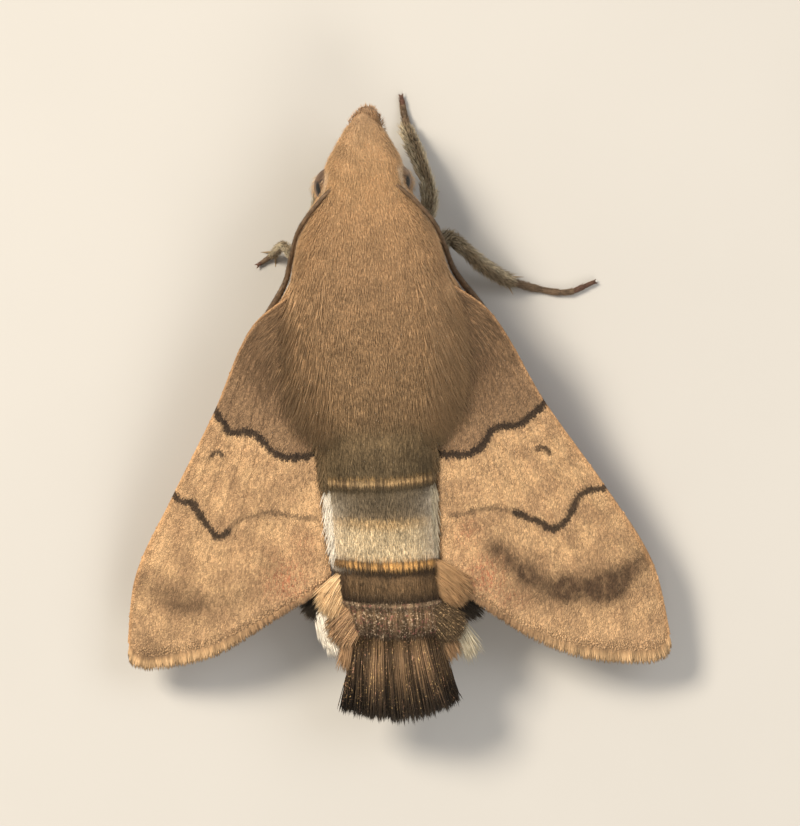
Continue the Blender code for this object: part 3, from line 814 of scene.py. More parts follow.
# Coats on the skin, each over one length of the body
coatPieces = {
    # first and last place along Y, tuft, density, stray, seed
    "headCoat": (15.3, 9.0, "fur", 280e6, 0.20, 3),
    "thoraxCoatFront": (9.0, 4.0, "fur", 272e6, 0.17, 4),
    "thoraxCoatRear": (4.0, -1.25, "fur", 272e6, 0.17, 5),
    "abdomenCoatFront": (-1.25, -6.0, "short", 280e6, 0.07, 6),
    "abdomenCoatRear": (-6.0, -11.6, "short", 280e6, 0.08, 7),
}


def skinRegion(front, rear):
    # The part of the skin between two places along Y, with its own unwrap
    y = skinPoints[:, 1]
    inside = (y <= front) & (y >= rear)
    quads = [quad for quad in skinQuads if inside[list(quad)].any()]
    used = np.unique(np.array(quads).ravel())
    number = {old: new for new, old in enumerate(used.tolist())}
    quads = [tuple(number[i] for i in quad) for quad in quads]
    places = skinPlaces[used].copy()
    low, high = places[:, 1].min(), places[:, 1].max()
    places[:, 1] = 0.01 + 0.98 * (places[:, 1] - low) / (high - low)
    fields = {key: values[used].copy() for key, values in skinFields.items()}
    fields["coatDensity"] *= inside[used]
    return used, quads, fields, places


for name, (front, rear, tuft, density, stray, seed) in coatPieces.items():
    used, quads, fields, places = skinRegion(front, rear)
    fields["coatDensity"] *= 1 - 0.5 * step(-0.2, -0.6, fields["coatPlace"][:, 2])  # thinner on the belly
    host = makeMesh(name, skinPoints[used], quads, fields, places)
    slot = "body_fur" if rear > -2 else "abdomen_fur"
    grow(name, slot, host, tuft, density, furFinish, stray=stray, seed=seed)

# Wings: the solids' own four-sided patches, thinner here and finely divided
wingPlan = {
    "root": (4.3, 6.0), "rootHeight": 5.60, "spread": 9.5, "droop": 2.2, "sink": 0.07,
    "gap": -0.25, "innerGap": -0.04, "above": 0.13, "below": 0.09,
    "veinHeight": 0.055, "veinHalf": 0.016, "costaHeight": 0.10, "scaleLift": 2.5,
    "comb": {
        "count": 1300, "reach": 0.46, "before": 0.14, "beyond": 0.08, "rise": 0.065, "dip": 0.09,
        "stray": 0.06, "seed": 90,
    },
    "scale": {"length": 0.17, "stray": 0.06},
    "baseHairEnd": 0.30,
    "baseHair": {"amount": 300e6, "stray": 0.10, "seed": 95},
    # side, size of the outline, degrees that it turns out, wider inner margin, bulge of the leading edge
    "placings": {"right": (1, 1.02, 0.0, 0.0, 0.0), "left": (-1, 0.95, 1.3, 0.1, 0.20)},
    "fore": {
        "costa": [(5.95, 4.10), (8.15, -0.25), (10.90, -4.75), (12.95, -8.60), (13.65, -12.60)],
        "termen": [(13.20, -13.35), (12.25, -13.50), (9.20, -12.90), (6.40, -11.45)],
        "innerYs": (-1.5, -4.0, -6.4, -8.6), "rootYs": (5.9, 0.6), "drop": 0.0, "length": 21.0,
        "veins": (0.10, 0.20, 0.32, 0.44, 0.56, 0.68, 0.80, 0.91), "rows": 170, "columns": 120,
        "scales": {"Upper": 185e6, "Lower": 36e6}, "combShare": 1,
    },
    "hind": {
        "costa": [(6.2, -0.6), (8.0, -4.6), (9.3, -8.4)],
        "termen": [(8.2, -9.9), (6.2, -9.6)],
        "inner": [(4.55, -2.6), (4.25, -5.4), (4.35, -8.2)],
        "rootYs": (2.4, -0.6), "drop": 1.05, "length": 11.0,
        "veins": (0.14, 0.32, 0.50, 0.68, 0.86), "rows": 90, "columns": 60,
        "scales": {"Upper": 50e6, "Lower": 34e6}, "combShare": 2,
    },
}


def wingHeight(x, y):
    rootX, rootY = wingPlan["root"]
    share = np.maximum((np.abs(x) - rootX) / wingPlan["spread"], 0)
    drop = wingPlan["droop"] * (0.65 * share + 0.35 * share**2)
    return wingPlan["rootHeight"] - drop - wingPlan["sink"] * (rootY - y)


# Longer hair from the sides of the thorax, aimed so that it lies over the wing bases
shoulderPlan = {
    "ys": (7.5, -1.6), "degrees": (0, 58), "rows": 30, "columns": 14,
    "reach": 2.3, "splay": 34, "above": 0.20,
    "hair": {"amount": 290e6, "length": 0.9, "stray": 0.08, "seed": 12},
}


def shoulderPatch(side):
    plan = shoulderPlan
    (front, rear), (low, high) = plan["ys"], plan["degrees"]
    grids = np.meshgrid(
        np.linspace(front, rear, plan["rows"]), np.linspace(low, high, plan["columns"]), indexing="ij"
    )
    ys, angles = (grid.ravel() for grid in grids)
    spots, normals = bodyPoint(ys, angles, -0.30, side)
    share = (angles - low) / (high - low)
    turn = np.radians(plan["splay"]) * (1 - 0.75 * share) * step(8.6, 6.4, ys)
    reach = plan["reach"] * (1 - 0.35 * share) * (0.55 + 0.45 * step(-1.6, 1.5, ys))
    ends = spots + together(side * np.sin(turn) * reach, -np.cos(turn) * reach, 0.0)
    wing = wingHeight(ends[:, 0], ends[:, 1]) + plan["above"]
    body = bodyPoint(ends[:, 1], angles, 0.12, side)[0][:, 2]
    ends[:, 2] = wing * (1 - share) + np.maximum(body, wing) * share
    aim = ends - spots
    return spots, gridFaces(plan["rows"], plan["columns"], turned=side > 0), {
        "lie": unit(aim), "up": unit(normals + (0, 0, 1)), "coatLength": np.linalg.norm(aim, axis=1),
        "coatDensity": step(front, front - 1.5, ys) * step(1.0, 0.7, share),
        "coatPlace": together(spots[:, 0], ys, 0.5), "pale": np.zeros(len(ys)),
    }, together(share, (ys - rear) / (front - rear))


for side, word in bothSides:
    name = "shoulderHair" + word
    host = makeMesh(name, *shoulderPatch(side))
    grow(name, "body_fur", host, "hair", finish=furFinish, **shoulderPlan["hair"])
print("body coat grown")

# Rows of longer golden scales that end the segments of the abdomen
fringePlan = {
    # place, place whose colour they take, count, length, how far they stand out
    "rows": (
        (-3.78, -3.80, 1000, 0.40, -0.11), (-7.90, -7.90, 1000, 0.46, -0.08),
        (-9.98, -9.80, 900, 0.22, -0.09), (-10.02, -9.83, 520, 0.24, -0.03),
    ),
    "degrees": (-70, 250),
    "stray": 0.08,
    "seed": 20,
}


def ringLine(name, y, shown, lift):
    # A line round the body at one ring, from low on one side to low on the other
    degrees = np.linspace(*fringePlan["degrees"], 120)
    flat = bodyPoint(y, degrees, 0.0)[0]
    spots, normals = bodyPoint(2 * y - bandPlace(flat), degrees, lift)
    top, belly = bodyAt(y)[2:]
    above = (spots[:, 2] - (top + belly) / 2) / ((top - belly) / 2)
    return makeMesh(name, spots, (), {
        "lie": unit(normals * 0.02 + (0, -1, 0)), "up": normals, "coatLength": np.ones(len(spots)),
        "pale": 0.8 * hump(0.02, 0.25, above), "coatPlace": together(spots[:, 0], shown, above),
        "OFBake": together(degrees / 360 + 0.3, 0.5, 0.0),
    })


for number, (y, shown, count, length, lift) in enumerate(fringePlan["rows"]):
    name = "segmentFringe" + str(number + 1)
    host = ringLine(name, y, shown, lift)
    seed = fringePlan["seed"] + number
    grow(name, "abdomen_fur", host, "fringe", count, furFinish, length, fringePlan["stray"], seed)

# Tail fan: long scales from the last ring, each aimed at the fan's outline
fanPlan = {
    "front": -11.75, "reach": 3.75, "endRound": 0.20, "rootHalf": 2.25, "lean": 2.5, "splay": 10.0,
    "endHeight": 3.72, "endThick": 0.55,
    "scales": {"amount": 380e6, "length": 0.94, "stray": 0.055, "seed": 31},
    "waves": ((4.7, 2.1, 0.4, 0.9), (10.9, -3.0, 1.0, 0.8), (18.1, 1.7, 2.3, 0.7)),  # pace, tilt, start, size
    "waveSize": 2.2,
    "lower": (100, 80, 59), "middle": (122, 97, 71), "end": (42, 33, 26),
    "glint": (214, 178, 122), "glintRose": (170, 128, 104),
}


def fanFields(points, normals, fields):
    x = points[:, 0]
    bend, half = bodyAt(np.clip(points[:, 1], bodyPlan["ends"][0], -11))[:2]
    share = np.clip((x - bend) / (half * 0.94), -1, 1)
    above = fields["coatPlace"][:, 2]
    waves = sum(
        size * np.sin(pace * x + tilt * above + start) for pace, tilt, start, size in fanPlan["waves"]
    )
    angle = np.radians(fanPlan["lean"] + fanPlan["splay"] * share + fanPlan["waveSize"] * waves)
    reach = fanPlan["reach"] * (1 - fanPlan["endRound"] * share**2 + 0.02 * np.sin(9.1 * x + 4 * above))
    aim = together(
        bend - 0.2 + share * fanPlan["rootHalf"] + np.sin(angle) * reach, fanPlan["front"] - reach,
        fanPlan["endHeight"] + fanPlan["endThick"] * above * (1 - 0.5 * share**2),
    ) - points
    aims = {"lie": unit(aim), "up": unit(normals + (0, 0, 0.6)), "coatLength": np.linalg.norm(aim, axis=1)}
    return {**fields, **aims}


def makeFanFinish():
    paint = Finish("fan scales", 0.5, 0.06, 0.2)
    along, tint = paint.read("along"), paint.read("tint")
    paint.start(paint.between(along, 0.0, 0.4), fanPlan["lower"], fanPlan["middle"])
    paint.over(paint.between(along, 0.50, 0.92), fanPlan["end"])
    # Painted shade in the gaps between the locks, darker sides, then painted glints in clusters
    locks = paint.stretched(paint.read("coatPlace", "Vector"), (3.4, 0.3, 1.2))
    paint.shade(locks, 0.38, 0.62, 0.48, 1.32)
    paint.shade(paint.work("ABSOLUTE", paint.axes("coatPlace")["X"]), 0.9, 2.0, 1.0, 0.62)
    spark = paint.times(paint.between(paint.noise(9000.0, 2.0), 0.56, 0.66), paint.between(along, 0.98, 0.8))
    spark = paint.times(spark, paint.between(paint.noise(1500.0, 1.0), 0.40, 0.60, 0.3))
    spark = paint.times(spark, paint.between(tint, 0.30, 0.7, 0.15, 1.0))
    paint.over(spark, paint.mix(paint.between(tint, 0.75, 0.8), fanPlan["glint"], fanPlan["glintRose"]))
    paint.shadeTint(0.60, 1.35)
    return paint.done()


used, quads, fields, places = skinRegion(-11.25, -13.7)
fields = fanFields(skinPoints[used], skinNormals[used], fields)
host = makeMesh("fanCoat", skinPoints[used], quads, fields, places)
grow("fanCoat", "tail_scales", host, "brush", finish=makeFanFinish(), **fanPlan["scales"])

# Side tufts: hair-like scales in bundles. Each runs from one line of roots, inside the skin or another
# bundle, to one line of tips; the last triple is how far its upper layer lies from its lower one. Kind 2
# takes the coat's bands.
sideTufts = {
    # kind, count, first and last root, first and last tip, upper layer
    "GreyFlankLeft": (2, 900, (-2.80, -0.6, 5.15), (-2.80, -3.2, 5.00),
                      (-3.45, -2.0, 5.38), (-3.40, -4.4, 5.18), (0.35, 0, 0.30)),
    "GreyFlankRight": (2, 900, (2.40, -0.6, 5.15), (2.20, -3.2, 5.00),
                       (2.95, -2.0, 5.38), (2.68, -4.4, 5.18), (-0.35, 0, 0.30)),
    "WhiteFlankLeft": (0, 1500, (-2.70, -3.3, 5.00), (-2.60, -6.7, 4.85),
                       (-3.40, -4.9, 5.12), (-3.16, -8.1, 4.90), (0.62, 0, 0.34)),
    "WhiteFlankRight": (5, 900, (2.40, -3.6, 5.05), (2.20, -6.7, 4.90),
                        (2.74, -5.0, 5.14), (2.50, -8.2, 4.90), (-0.45, 0, 0.34)),
    "BuffLeft": (3, 1300, (-2.40, -8.0, 4.75), (-2.25, -9.4, 4.40),
                 (-4.15, -9.5, 4.75), (-3.20, -10.5, 4.30), (0.30, 0, 0.35)),
    "BuffRight": (6, 1300, (2.05, -7.7, 4.80), (2.10, -9.4, 4.40),
                  (4.30, -9.2, 4.76), (3.30, -10.3, 4.30), (-0.30, 0, 0.35)),
    "BlackLeft": (1, 900, (-2.70, -8.8, 4.15), (-2.60, -9.5, 3.95),
                  (-4.75, -9.75, 4.05), (-3.95, -10.4, 3.85), (0.10, 0, 0.28)),
    "BlackRight": (1, 900, (2.40, -9.0, 4.15), (2.30, -9.8, 3.95),
                   (4.75, -10.05, 4.0), (3.90, -10.95, 3.80), (-0.10, 0, 0.28)),
    "LapLeft": (8, 2100, (-1.90, -9.55, 4.60), (-1.60, -10.6, 4.60),
                (-3.80, -10.7, 4.10), (-2.85, -12.0, 4.05), (0.50, 0, 0.55)),
    "LapRight": (7, 2100, (1.75, -9.65, 4.60), (1.45, -10.7, 4.60),
                 (3.85, -10.9, 4.10), (2.75, -12.2, 4.05), (-0.50, 0, 0.55)),
    "WhiteLeft": (0, 1000, (-4.10, -9.70, 3.92), (-3.35, -10.05, 3.95),
                  (-3.95, -11.7, 3.70), (-3.10, -12.5, 3.62), (0.10, 0, 0.34)),
    "WhiteRight": (5, 420, (2.60, -9.9, 3.90), (2.50, -10.5, 3.80),
                   (4.40, -12.4, 3.60), (3.60, -12.8, 3.50), (-0.10, 0, 0.25)),
    "TanLeft": (4, 800, (-2.20, -10.5, 4.15), (-1.90, -11.2, 4.05),
                (-3.15, -12.8, 3.85), (-2.45, -13.1, 3.85), (0.20, 0, 0.40)),
    "TanRight": (4, 800, (2.00, -10.6, 4.15), (1.70, -11.3, 4.05),
                 (3.35, -12.6, 3.85), (2.55, -12.8, 3.85), (-0.20, 0, 0.40)),
}
# White, buff and lap tones come in lit and shaded copies: kinds 0, 3 and 8 on the left carry painted light,
# kinds 5, 6 and 7 on the right are their darker copies with painted shade
tuftTones = (
    (252, 244, 228), (20, 15, 12), None, (240, 206, 158), (174, 139, 103), (204, 193, 168), (182, 145, 104),
    (98, 79, 57), (176, 142, 108),
)
tuftGlint = (226, 190, 140)
looseKinds = (3, 4, 6, 7, 8)
looseStray, tightStray = 0.11, 0.07


def tuftPatch(kind, *corners):
    rootFirst, rootLast, tipFirst, tipLast, upper = (np.array(corner, float) for corner in corners)
    size = 9
    share = np.linspace(0, 1, size)
    s, t = (grid.ravel()[:, None] for grid in np.meshgrid(share, share))
    spots = rootFirst * (1 - s) + rootLast * s + upper * t
    tips = tipFirst * (1 - s) + tipLast * s + upper * t * (1, 1, 0.45)
    aim = (tips - spots) * (1 - 0.12 * (2 * s - 1) ** 2 - 0.08 * (2 * t - 1) ** 2)
    band = np.where(spots[:, 1] > -4.5, spots[:, 1], np.interp(s[:, 0], (0, 1), (-9.95, -10.9)))
    return spots, gridFaces(size, size), {
        "lie": unit(aim), "up": np.tile((0.0, 0.0, 1.0), (len(spots), 1)),
        "coatLength": np.linalg.norm(aim, axis=1),
        "kind": np.full(len(spots), float(kind)), "pale": np.zeros(len(spots)),
        "coatPlace": together(spots[:, 0] * 0.9 + s[:, 0], band, 0.6),
    }, np.concatenate([s, t], axis=1)


def makeTuftFinish():
    paint = Finish("side tufts", 0.6, 0.1, 0.2)
    kind = paint.read("kind")
    paint.colour = tuftTones[0]
    for number, colour in enumerate(tuftTones):
        if number and colour:
            paint.over(paint.between(kind, number - 0.6, number - 0.4), colour)
    laps = paint.between(kind, 6.4, 6.6)
    paint.over(paint.times(laps, paint.between(paint.noise(11000.0, 1.0), 0.56, 0.68, 0, 0.7)), tuftGlint)
    # Painted shade: each tuft darker towards its root, inside the bundle
    paint.shade(paint.read("along"), 0.0, 0.40, 0.7, 1.0)
    low, high = paint.mixNumbers(laps, 0.86, 0.45), paint.mixNumbers(laps, 1.14, 1.5)
    paint.shadeBy(paint.mixNumbers(paint.read("tint"), low, high))
    return paint.done()


tuftFinish = makeTuftFinish()
for number, (name, (kind, count, *corners)) in enumerate(sideTufts.items()):
    spots, quads, fields, places = tuftPatch(kind, *corners)
    host = makeMesh(name, spots, quads, fields, places)
    area = sum(face.area for face in host.polygons)
    addFields(host, {"coatDensity": np.full(len(spots), count / area / 1e7)})
    grow(
        "tuft" + name, "abdomen_fur", host, "lockRight" if "Right" in name else "lockLeft", 1e7,
        furFinish if kind == 2 else tuftFinish, stray=looseStray if kind in looseKinds else tightStray,
        seed=40 + number,
    )
print("tail dressed")


def wingSpots(kind, word, u, v):
    # Points of the middle of the membrane for shares u from the root out and v from the leading edge back
    plan = wingPlan[kind]
    side, reach, turn, margin, bulge = wingPlan["placings"][word]
    root = np.array(wingPlan["root"])

    def placed(points):
        # Scales an outline about the wing's root and swings it outward
        angle = math.radians(turn)
        swing = np.array(((math.cos(angle), -math.sin(angle)), (math.sin(angle), math.cos(angle))))
        return ((np.array(points) - root) * reach) @ swing.T + root

    def rootPoint(share):
        y = plan["rootYs"][0] + (plan["rootYs"][1] - plan["rootYs"][0]) * np.atleast_1d(share)
        z = wingHeight(np.full(len(y), root[0]), y) - plan["drop"]
        return together(bodySide(y, z, side) + wingPlan["gap"], y)

    if kind == "fore":
        costa, termen = placed(plan["costa"]), placed(plan["termen"])
        costa[:2, 0] += bulge
        ys = np.array(plan["innerYs"])
        reachIn = bodySide(ys, wingHeight(np.full(len(ys), root[0]), ys), side)
        inner = together(reachIn + wingPlan["innerGap"] + margin, ys)
    else:
        costa, termen, inner = (np.array(plan[key]) for key in ("costa", "termen", "inner"))
    start, rear = rootPoint(0.0)[0], rootPoint(1.0)[0]
    lead, back, outer = (
        smoothPath(np.vstack(parts), 400, 2)
        for parts in ((start, costa), (rear, inner), (costa[-1:], termen, inner[-1:]))
    )
    u, v = np.asarray(u)[:, None], np.asarray(v)[:, None]
    across = readLine(lead, u[:, 0]) * (1 - v) + readLine(back, u[:, 0]) * v
    alongs = rootPoint(v[:, 0]) * (1 - u) + readLine(outer, v[:, 0]) * u
    corners = (start * (1 - v) + rear * v) * (1 - u) + (costa[-1] * (1 - v) + inner[-1] * v) * u
    flat = across + alongs - corners
    return together(side * flat[:, 0], flat[:, 1], wingHeight(flat[:, 0], flat[:, 1]) - plan["drop"])


# Markings of the forewings: lines of a few points, then round patches of x, y, size and depth
wingMarks = {
    "right": {
        "ante": (
            (2.4, -2.5), (3.6, -2.75), (4.52, -2.69), (5.1, -2.23), (5.44, -1.75),
            (5.96, -1.49), (6.71, -1.5), (7.49, -1.1), (8.18, -0.55), (8.9, 0.1),
        ),
        "post": (
            (10.95, -5.0), (10.06, -5.05), (9.58, -5.37), (9.13, -6.13), (8.64, -6.65), (8.12, -6.81),
            (7.5, -6.37), (6.92, -6.12), (6.39, -5.83),
        ),
        "faint": ((6.39, -5.83), (5.46, -5.56), (4.86, -5.52), (3.79, -5.69), (3.2, -5.76)),
        "spot": ((7.72, -2.78), (7.95, -2.70), (8.2, -2.82), (8.30, -3.0)),
        "bandDepth": 0.95,
        "band": (
            (13.1, -8.4), (11.91, -9.2), (10.85, -9.97), (9.45, -9.87), (7.52, -9.63), (6.2, -8.6),
            (5.3, -7.76),
        ),
        "clouds": (
            (5.30, -7.6, 0.60, 0.75), (5.85, -8.2, 0.65, 0.62), (6.6, -8.9, 0.70, 0.55),
            (10.7, -9.9, 0.80, 0.90), (8.9, -9.9, 0.70, 0.75), (6.0, -9.5, 0.9, 0.35),
        ),
        "red": ((4.75, -8.9, 1.1, 0.9), (3.9, -6.7, 0.7, 0.55), (5.9, -9.9, 0.8, 0.5)),
    },
    "left": {
        "ante": (
            (-8.9, 1.2), (-8.33, 0.51), (-7.88, -0.17), (-7.48, -0.8), (-6.68, -0.86), (-6.1, -1.11),
            (-5.64, -1.74), (-5.02, -2.19), (-4.23, -2.3), (-3.4, -2.2),
        ),
        "post": (
            (-10.9, -3.55), (-10.22, -4.06), (-9.73, -4.15), (-9.33, -4.78), (-8.88, -5.56), (-8.46, -6.0),
            (-7.98, -5.75),
        ),
        "faint": (
            (-7.98, -5.75), (-7.56, -5.31), (-6.89, -5.11), (-5.63, -4.95), (-4.4, -5.29), (-3.6, -5.4),
        ),
        "spot": ((-8.55, -1.98), (-8.38, -1.78), (-8.12, -1.76), (-7.95, -1.90)),
        "bandDepth": 0.5,
        "band": (
            (-12.5, -8.0), (-11.4, -8.7), (-10.4, -9.3), (-9.0, -9.3), (-7.2, -9.0), (-6.2, -8.2),
            (-5.3, -7.4),
        ),
        "clouds": ((-10.49, -9.01, 0.9, 0.35), (-12.05, -11.15, 1.0, 0.40), (-5.9, -7.5, 0.6, 0.30)),
        "red": ((-5.3, -8.3, 1.1, 0.9), (-4.2, -6.6, 0.7, 0.4), (-4.6, -9.4, 0.8, 0.6)),
    },
}


def wingFields(kind, word, points, u, v, normals):
    x, y = points[:, 0], points[:, 1]
    ahead = wingSpots(kind, word, np.minimum(u + 0.01, 1.01), v) - wingSpots(kind, word, u, v)
    rise = math.radians(wingPlan["scaleLift"])
    reach = np.linalg.norm(np.array(wingPlan[kind]["costa"])[-1] - wingPlan["root"])
    fields = {
        "lie": unit(ahead) * math.cos(rise) + normals * math.sin(rise), "up": normals,
        "coatLength": np.ones(len(points)), "coatDensity": step(0.0, 0.02, v) * step(1.0, 0.985, v),
        "wingPlace": together(x, y, v), "below": (normals[:, 2] < 0).astype(float),
        "edgePlace": together(v, (1 - u) * reach, u),
    }
    if kind == "fore":
        marks = wingMarks[word]

        def away(key, count):
            return lineDistance(points, smoothPath(marks[key], count, 2))

        def patches(spots):
            # The deepest of several soft round patches
            deepest = np.zeros(len(points))
            for atX, atY, size, depth in spots:
                deepest = np.maximum(deepest, depth * np.exp(-((np.hypot(x - atX, y - atY) / size) ** 2)))
            return deepest

        ante, side = away("ante", 60)
        band = hump(0, 0.72, away("band", 40)[0]) * step(4.4, 8.5, np.abs(x))
        shade = np.clip(marks["bandDepth"] * band + 1.1 * patches(marks["clouds"]), 0, 1)
        fields["lineMarks"] = together(ante * side, away("post", 60)[0], away("faint", 40)[0])
        fields["shadeMarks"] = together(away("spot", 16)[0], shade, patches(marks["red"]))
    return fields


def wingFold(u, v):
    # Shallow pleats between the veins
    return np.cos(2 * np.pi * (v * 9.2 + 0.2)) * 0.035 * step(0.1, 0.5, u)


def combReach(v):
    # The comb is longest behind the wing tip and short near the body
    return wingPlan["comb"]["reach"] * (0.42 + 0.58 * step(0.85, 0.25, v))


def makeWing(kind, word, finish):
    plan = wingPlan[kind]
    slot = kind + "wing"
    title = slot + word.capitalize()
    side = wingPlan["placings"][word][0]
    rows, columns = (plan[key] // 1 for key in ("rows", "columns"))
    us, vs = np.meshgrid(np.linspace(0, 1, rows), np.linspace(0, 1, columns), indexing="ij")
    v = vs.ravel()
    last = 1 - combReach(v) / plan["length"]
    u = us.ravel() * last
    middle = wingSpots(kind, word, u, v)
    full = 0.22 + 0.78 * step(0, 0.035, v) * step(1, 0.975, v) * step(last, last - 0.03, u)
    ridges = sum(hump(at, wingPlan["veinHalf"], v) for at in plan["veins"]) * step(last, last - 0.05, u)
    fold = wingFold(u, v)
    costa = hump(0.012, 0.022, v) * wingPlan["costaHeight"] * step(last, last - 0.2, u)
    top = wingPlan["above"] * full + wingPlan["veinHeight"] * ridges + costa + fold
    sheets = []
    for height, face in ((top, 1), (fold - wingPlan["below"] * full, -1)):
        points = middle + np.outer(height, (0, 0, 1))
        grid = points.reshape(rows, columns, 3)
        normal = np.cross(np.gradient(grid, axis=1), np.gradient(grid, axis=0)).reshape(-1, 3)
        normal = unit(normal * np.sign(normal[:, 2:3]) * face)
        sheets.append((points, wingFields(kind, word, points, u, v, normal)))
    (upper, upperFields), (lower, lowerFields) = sheets

    # The membrane: both faces and a rim between them
    many = rows * columns
    grid = np.arange(many).reshape(rows, columns)
    rim = np.concatenate([grid[0], grid[1:, -1], grid[-1, -2::-1], grid[-2:0:-1, 0]]).tolist()
    plain = gridFaces(rows, columns, turned=side > 0)
    faces = plain + gridFaces(rows, columns, start=many, turned=side < 0)
    for a, b in zip(rim, rim[1:] + rim[:1]):
        faces.append((a, b, b + many, a + many)[::side])
    u = u / last
    places = np.concatenate([together(v, u * 0.49), together(v, u * 0.49 + 0.5)])
    shown = {
        key: np.concatenate([upperFields[key], lowerFields[key]]) for key in upperFields
        if key not in ("lie", "up", "coatLength", "coatDensity")
    }
    mesh = makeMesh(title, np.concatenate([upper, lower]), faces, shown, places)
    makePiece(title, slot, mesh, finish, slot + "_" + word)
    for (face, density), (points, fields) in zip(plan["scales"].items(), sheets):
        host = makeMesh(title + face, points, plain, fields, together(v, u))
        seed = 60 + len(title) + side
        grow(title + "Scales" + face, slot, host, "scale", density, finish, seed=seed, **wingPlan["scale"])
    growComb(kind, word, title + "Comb", finish)
    if kind == "fore":  # longer hair-like scales on the base, so that body and wing flow into each other
        end = wingPlan["baseHairEnd"]
        fields = {
            **upperFields, "coatDensity": step(end, end * 0.3, u) * step(0.0, 0.05, v),
            "coatLength": 0.55 + 0.45 * step(end, 0.0, u),
        }
        name = "wingBase" + word.capitalize()
        host = makeMesh(name, upper, plain, fields, together(v, u))
        grow(name + "Hair", slot, host, "hair", finish=finish, **wingPlan["baseHair"])


def growComb(kind, word, name, finish):
    # The comb of long scales along the outer edge
    comb, plan = wingPlan["comb"], wingPlan[kind]
    v = np.linspace(0.012, 0.996, 260)
    reach = combReach(v)
    u = 1 - (reach + comb["before"]) / plan["length"]
    inside = wingSpots(kind, word, u, v)
    beyond = wingSpots(kind, word, u + 0.004, v) - inside
    spots = inside + np.outer(wingFold(u, v) + comb["rise"], (0, 0, 1))
    fields = wingFields(kind, word, spots, u, v, np.tile((0.0, 0.0, 1.0), (len(v), 1)))
    square = np.cross(unit(np.gradient(spots, axis=0)), (0, 0, 1))
    square *= np.sign(np.sum(square * beyond, axis=1, keepdims=True))
    share = (0.6 * step(0.0, 0.15, v))[:, None]
    fields["lie"] = unit(unit(square) * share + unit(beyond) * (1 - share) - (0, 0, comb["dip"]))
    fields["coatLength"] = reach + comb["before"] + comb["beyond"]
    fields["edgePlace"][:, 1] = -1.0
    fields["OFBake"] = together(v * 0.97, 0.5, 0.0)
    grow(
        name, kind + "wing", makeMesh(name, spots, (), fields), "comb", comb["count"] // plan["combShare"],
        finish, stray=comb["stray"], seed=comb["seed"],
    )


wingTones = {
    "light": (207, 169, 125), "dark": (177, 142, 105), "basal": (129, 102, 76), "outer": (190, 154, 116),
    "band": (84, 63, 45), "red": (176, 108, 78), "line": (36, 26, 21), "costa": (204, 156, 108),
    "under": (176, 112, 56), "underRoot": (150, 118, 84),
    "hind": (204, 116, 44), "hindEdge": (92, 58, 36), "hindRoot": (112, 78, 50),
    "comb": (206, 170, 126), "combInner": (160, 127, 94),
    # half width and depth of each dark line
    "lines": {"ante": (0.17, 0.95), "post": (0.16, 0.92), "faint": (0.10, 0.5), "spot": (0.10, 0.85)},
}


def layGrain(paint, place):
    # The fine unevenness of small scales, with soft clouds
    paint.shade(paint.noise(0.7, 4.0, place), 0.3, 0.7, 0.92, 1.08)
    paint.shade(paint.noise(7.0, 2.0, place), 0.32, 0.68, 0.72, 1.22)
    paint.shadeTint(0.88, 1.13)


def makeForewingFinish():
    paint = Finish("forewing scales", 0.7, 0.12, 0.2)
    place = paint.read("wingPlace", "Vector")
    ante, post, faint = paint.axes("lineMarks")
    spot, shade, red = paint.axes("shadeMarks")
    edge, out = paint.axes("edgePlace")[:2]
    wobble = paint.work("MULTIPLY_ADD", paint.noise(2.6, 3.0, place), 0.30, -0.15)
    clouds = paint.between(paint.noise(0.9, 3.0, place), 0.35, 0.65)
    paint.start(clouds, wingTones["dark"], wingTones["light"])
    paint.over(paint.between(out, 4.0, 0.5, 0, 0.5), wingTones["outer"])
    paint.over(paint.times(paint.between(ante, -0.05, 0.12), 0.85), wingTones["basal"])
    flecks = paint.between(paint.noise(8.0, 4.0, place), 0.47, 0.60, 0.12, 0.9)
    paint.over(paint.times(red, flecks), wingTones["red"])
    rough = paint.between(paint.noise(2.2, 3.0, place), 0.28, 0.58, 0.74, 1.0)
    paint.over(paint.times(shade, rough), wingTones["band"])
    paint.over(paint.between(edge, 0.035, 0.008, 0, 0.55), wingTones["costa"])
    for key, at, sway in (
        ("ante", paint.work("ABSOLUTE", ante), wobble), ("post", post, wobble), ("faint", faint, wobble),
        ("spot", spot, paint.times(wobble, 0.5)),
    ):
        half, depth = wingTones["lines"][key]
        line = paint.between(paint.work("ADD", at, sway), half + 0.10, half - 0.06, 0, depth)
        paint.over(line, wingTones["line"])
    under = paint.mix(paint.between(out, 6.0, 1.0), wingTones["under"], wingTones["underRoot"])
    paint.over(paint.read("below"), under)
    # The comb is pale tan with darker gaps, and browner near the body
    tan = paint.mix(paint.between(edge, 0.3, 0.75), wingTones["comb"], wingTones["combInner"])
    tan = paint.mix(paint.between(paint.read("tint"), 0.5, 0.8, 0, 0.4), tan, wingTones["band"])
    paint.over(paint.times(paint.between(out, -0.2, -0.8), paint.between(paint.read("along"), 0.2, 0.5)), tan)
    layGrain(paint, place)
    return paint.done()


def makeHindwingFinish():
    paint = Finish("hindwing scales", 0.68, 0.2)
    place = paint.read("wingPlace", "Vector")
    out, along = paint.axes("edgePlace")[1:]
    wobble = paint.work("MULTIPLY_ADD", paint.noise(1.4, 3.0, place), 0.8, -0.4)
    paint.start(paint.between(along, 0.0, 0.3), wingTones["hindRoot"], wingTones["hind"])
    paint.over(paint.between(paint.work("ADD", out, wobble), 1.6, 0.7), wingTones["hindEdge"])
    layGrain(paint, place)
    return paint.done()


forewingFinish, hindwingFinish = makeForewingFinish(), makeHindwingFinish()
for word in ("right", "left"):
    makeWing("fore", word, forewingFinish)
    makeWing("hind", word, hindwingFinish)
print("wings made")

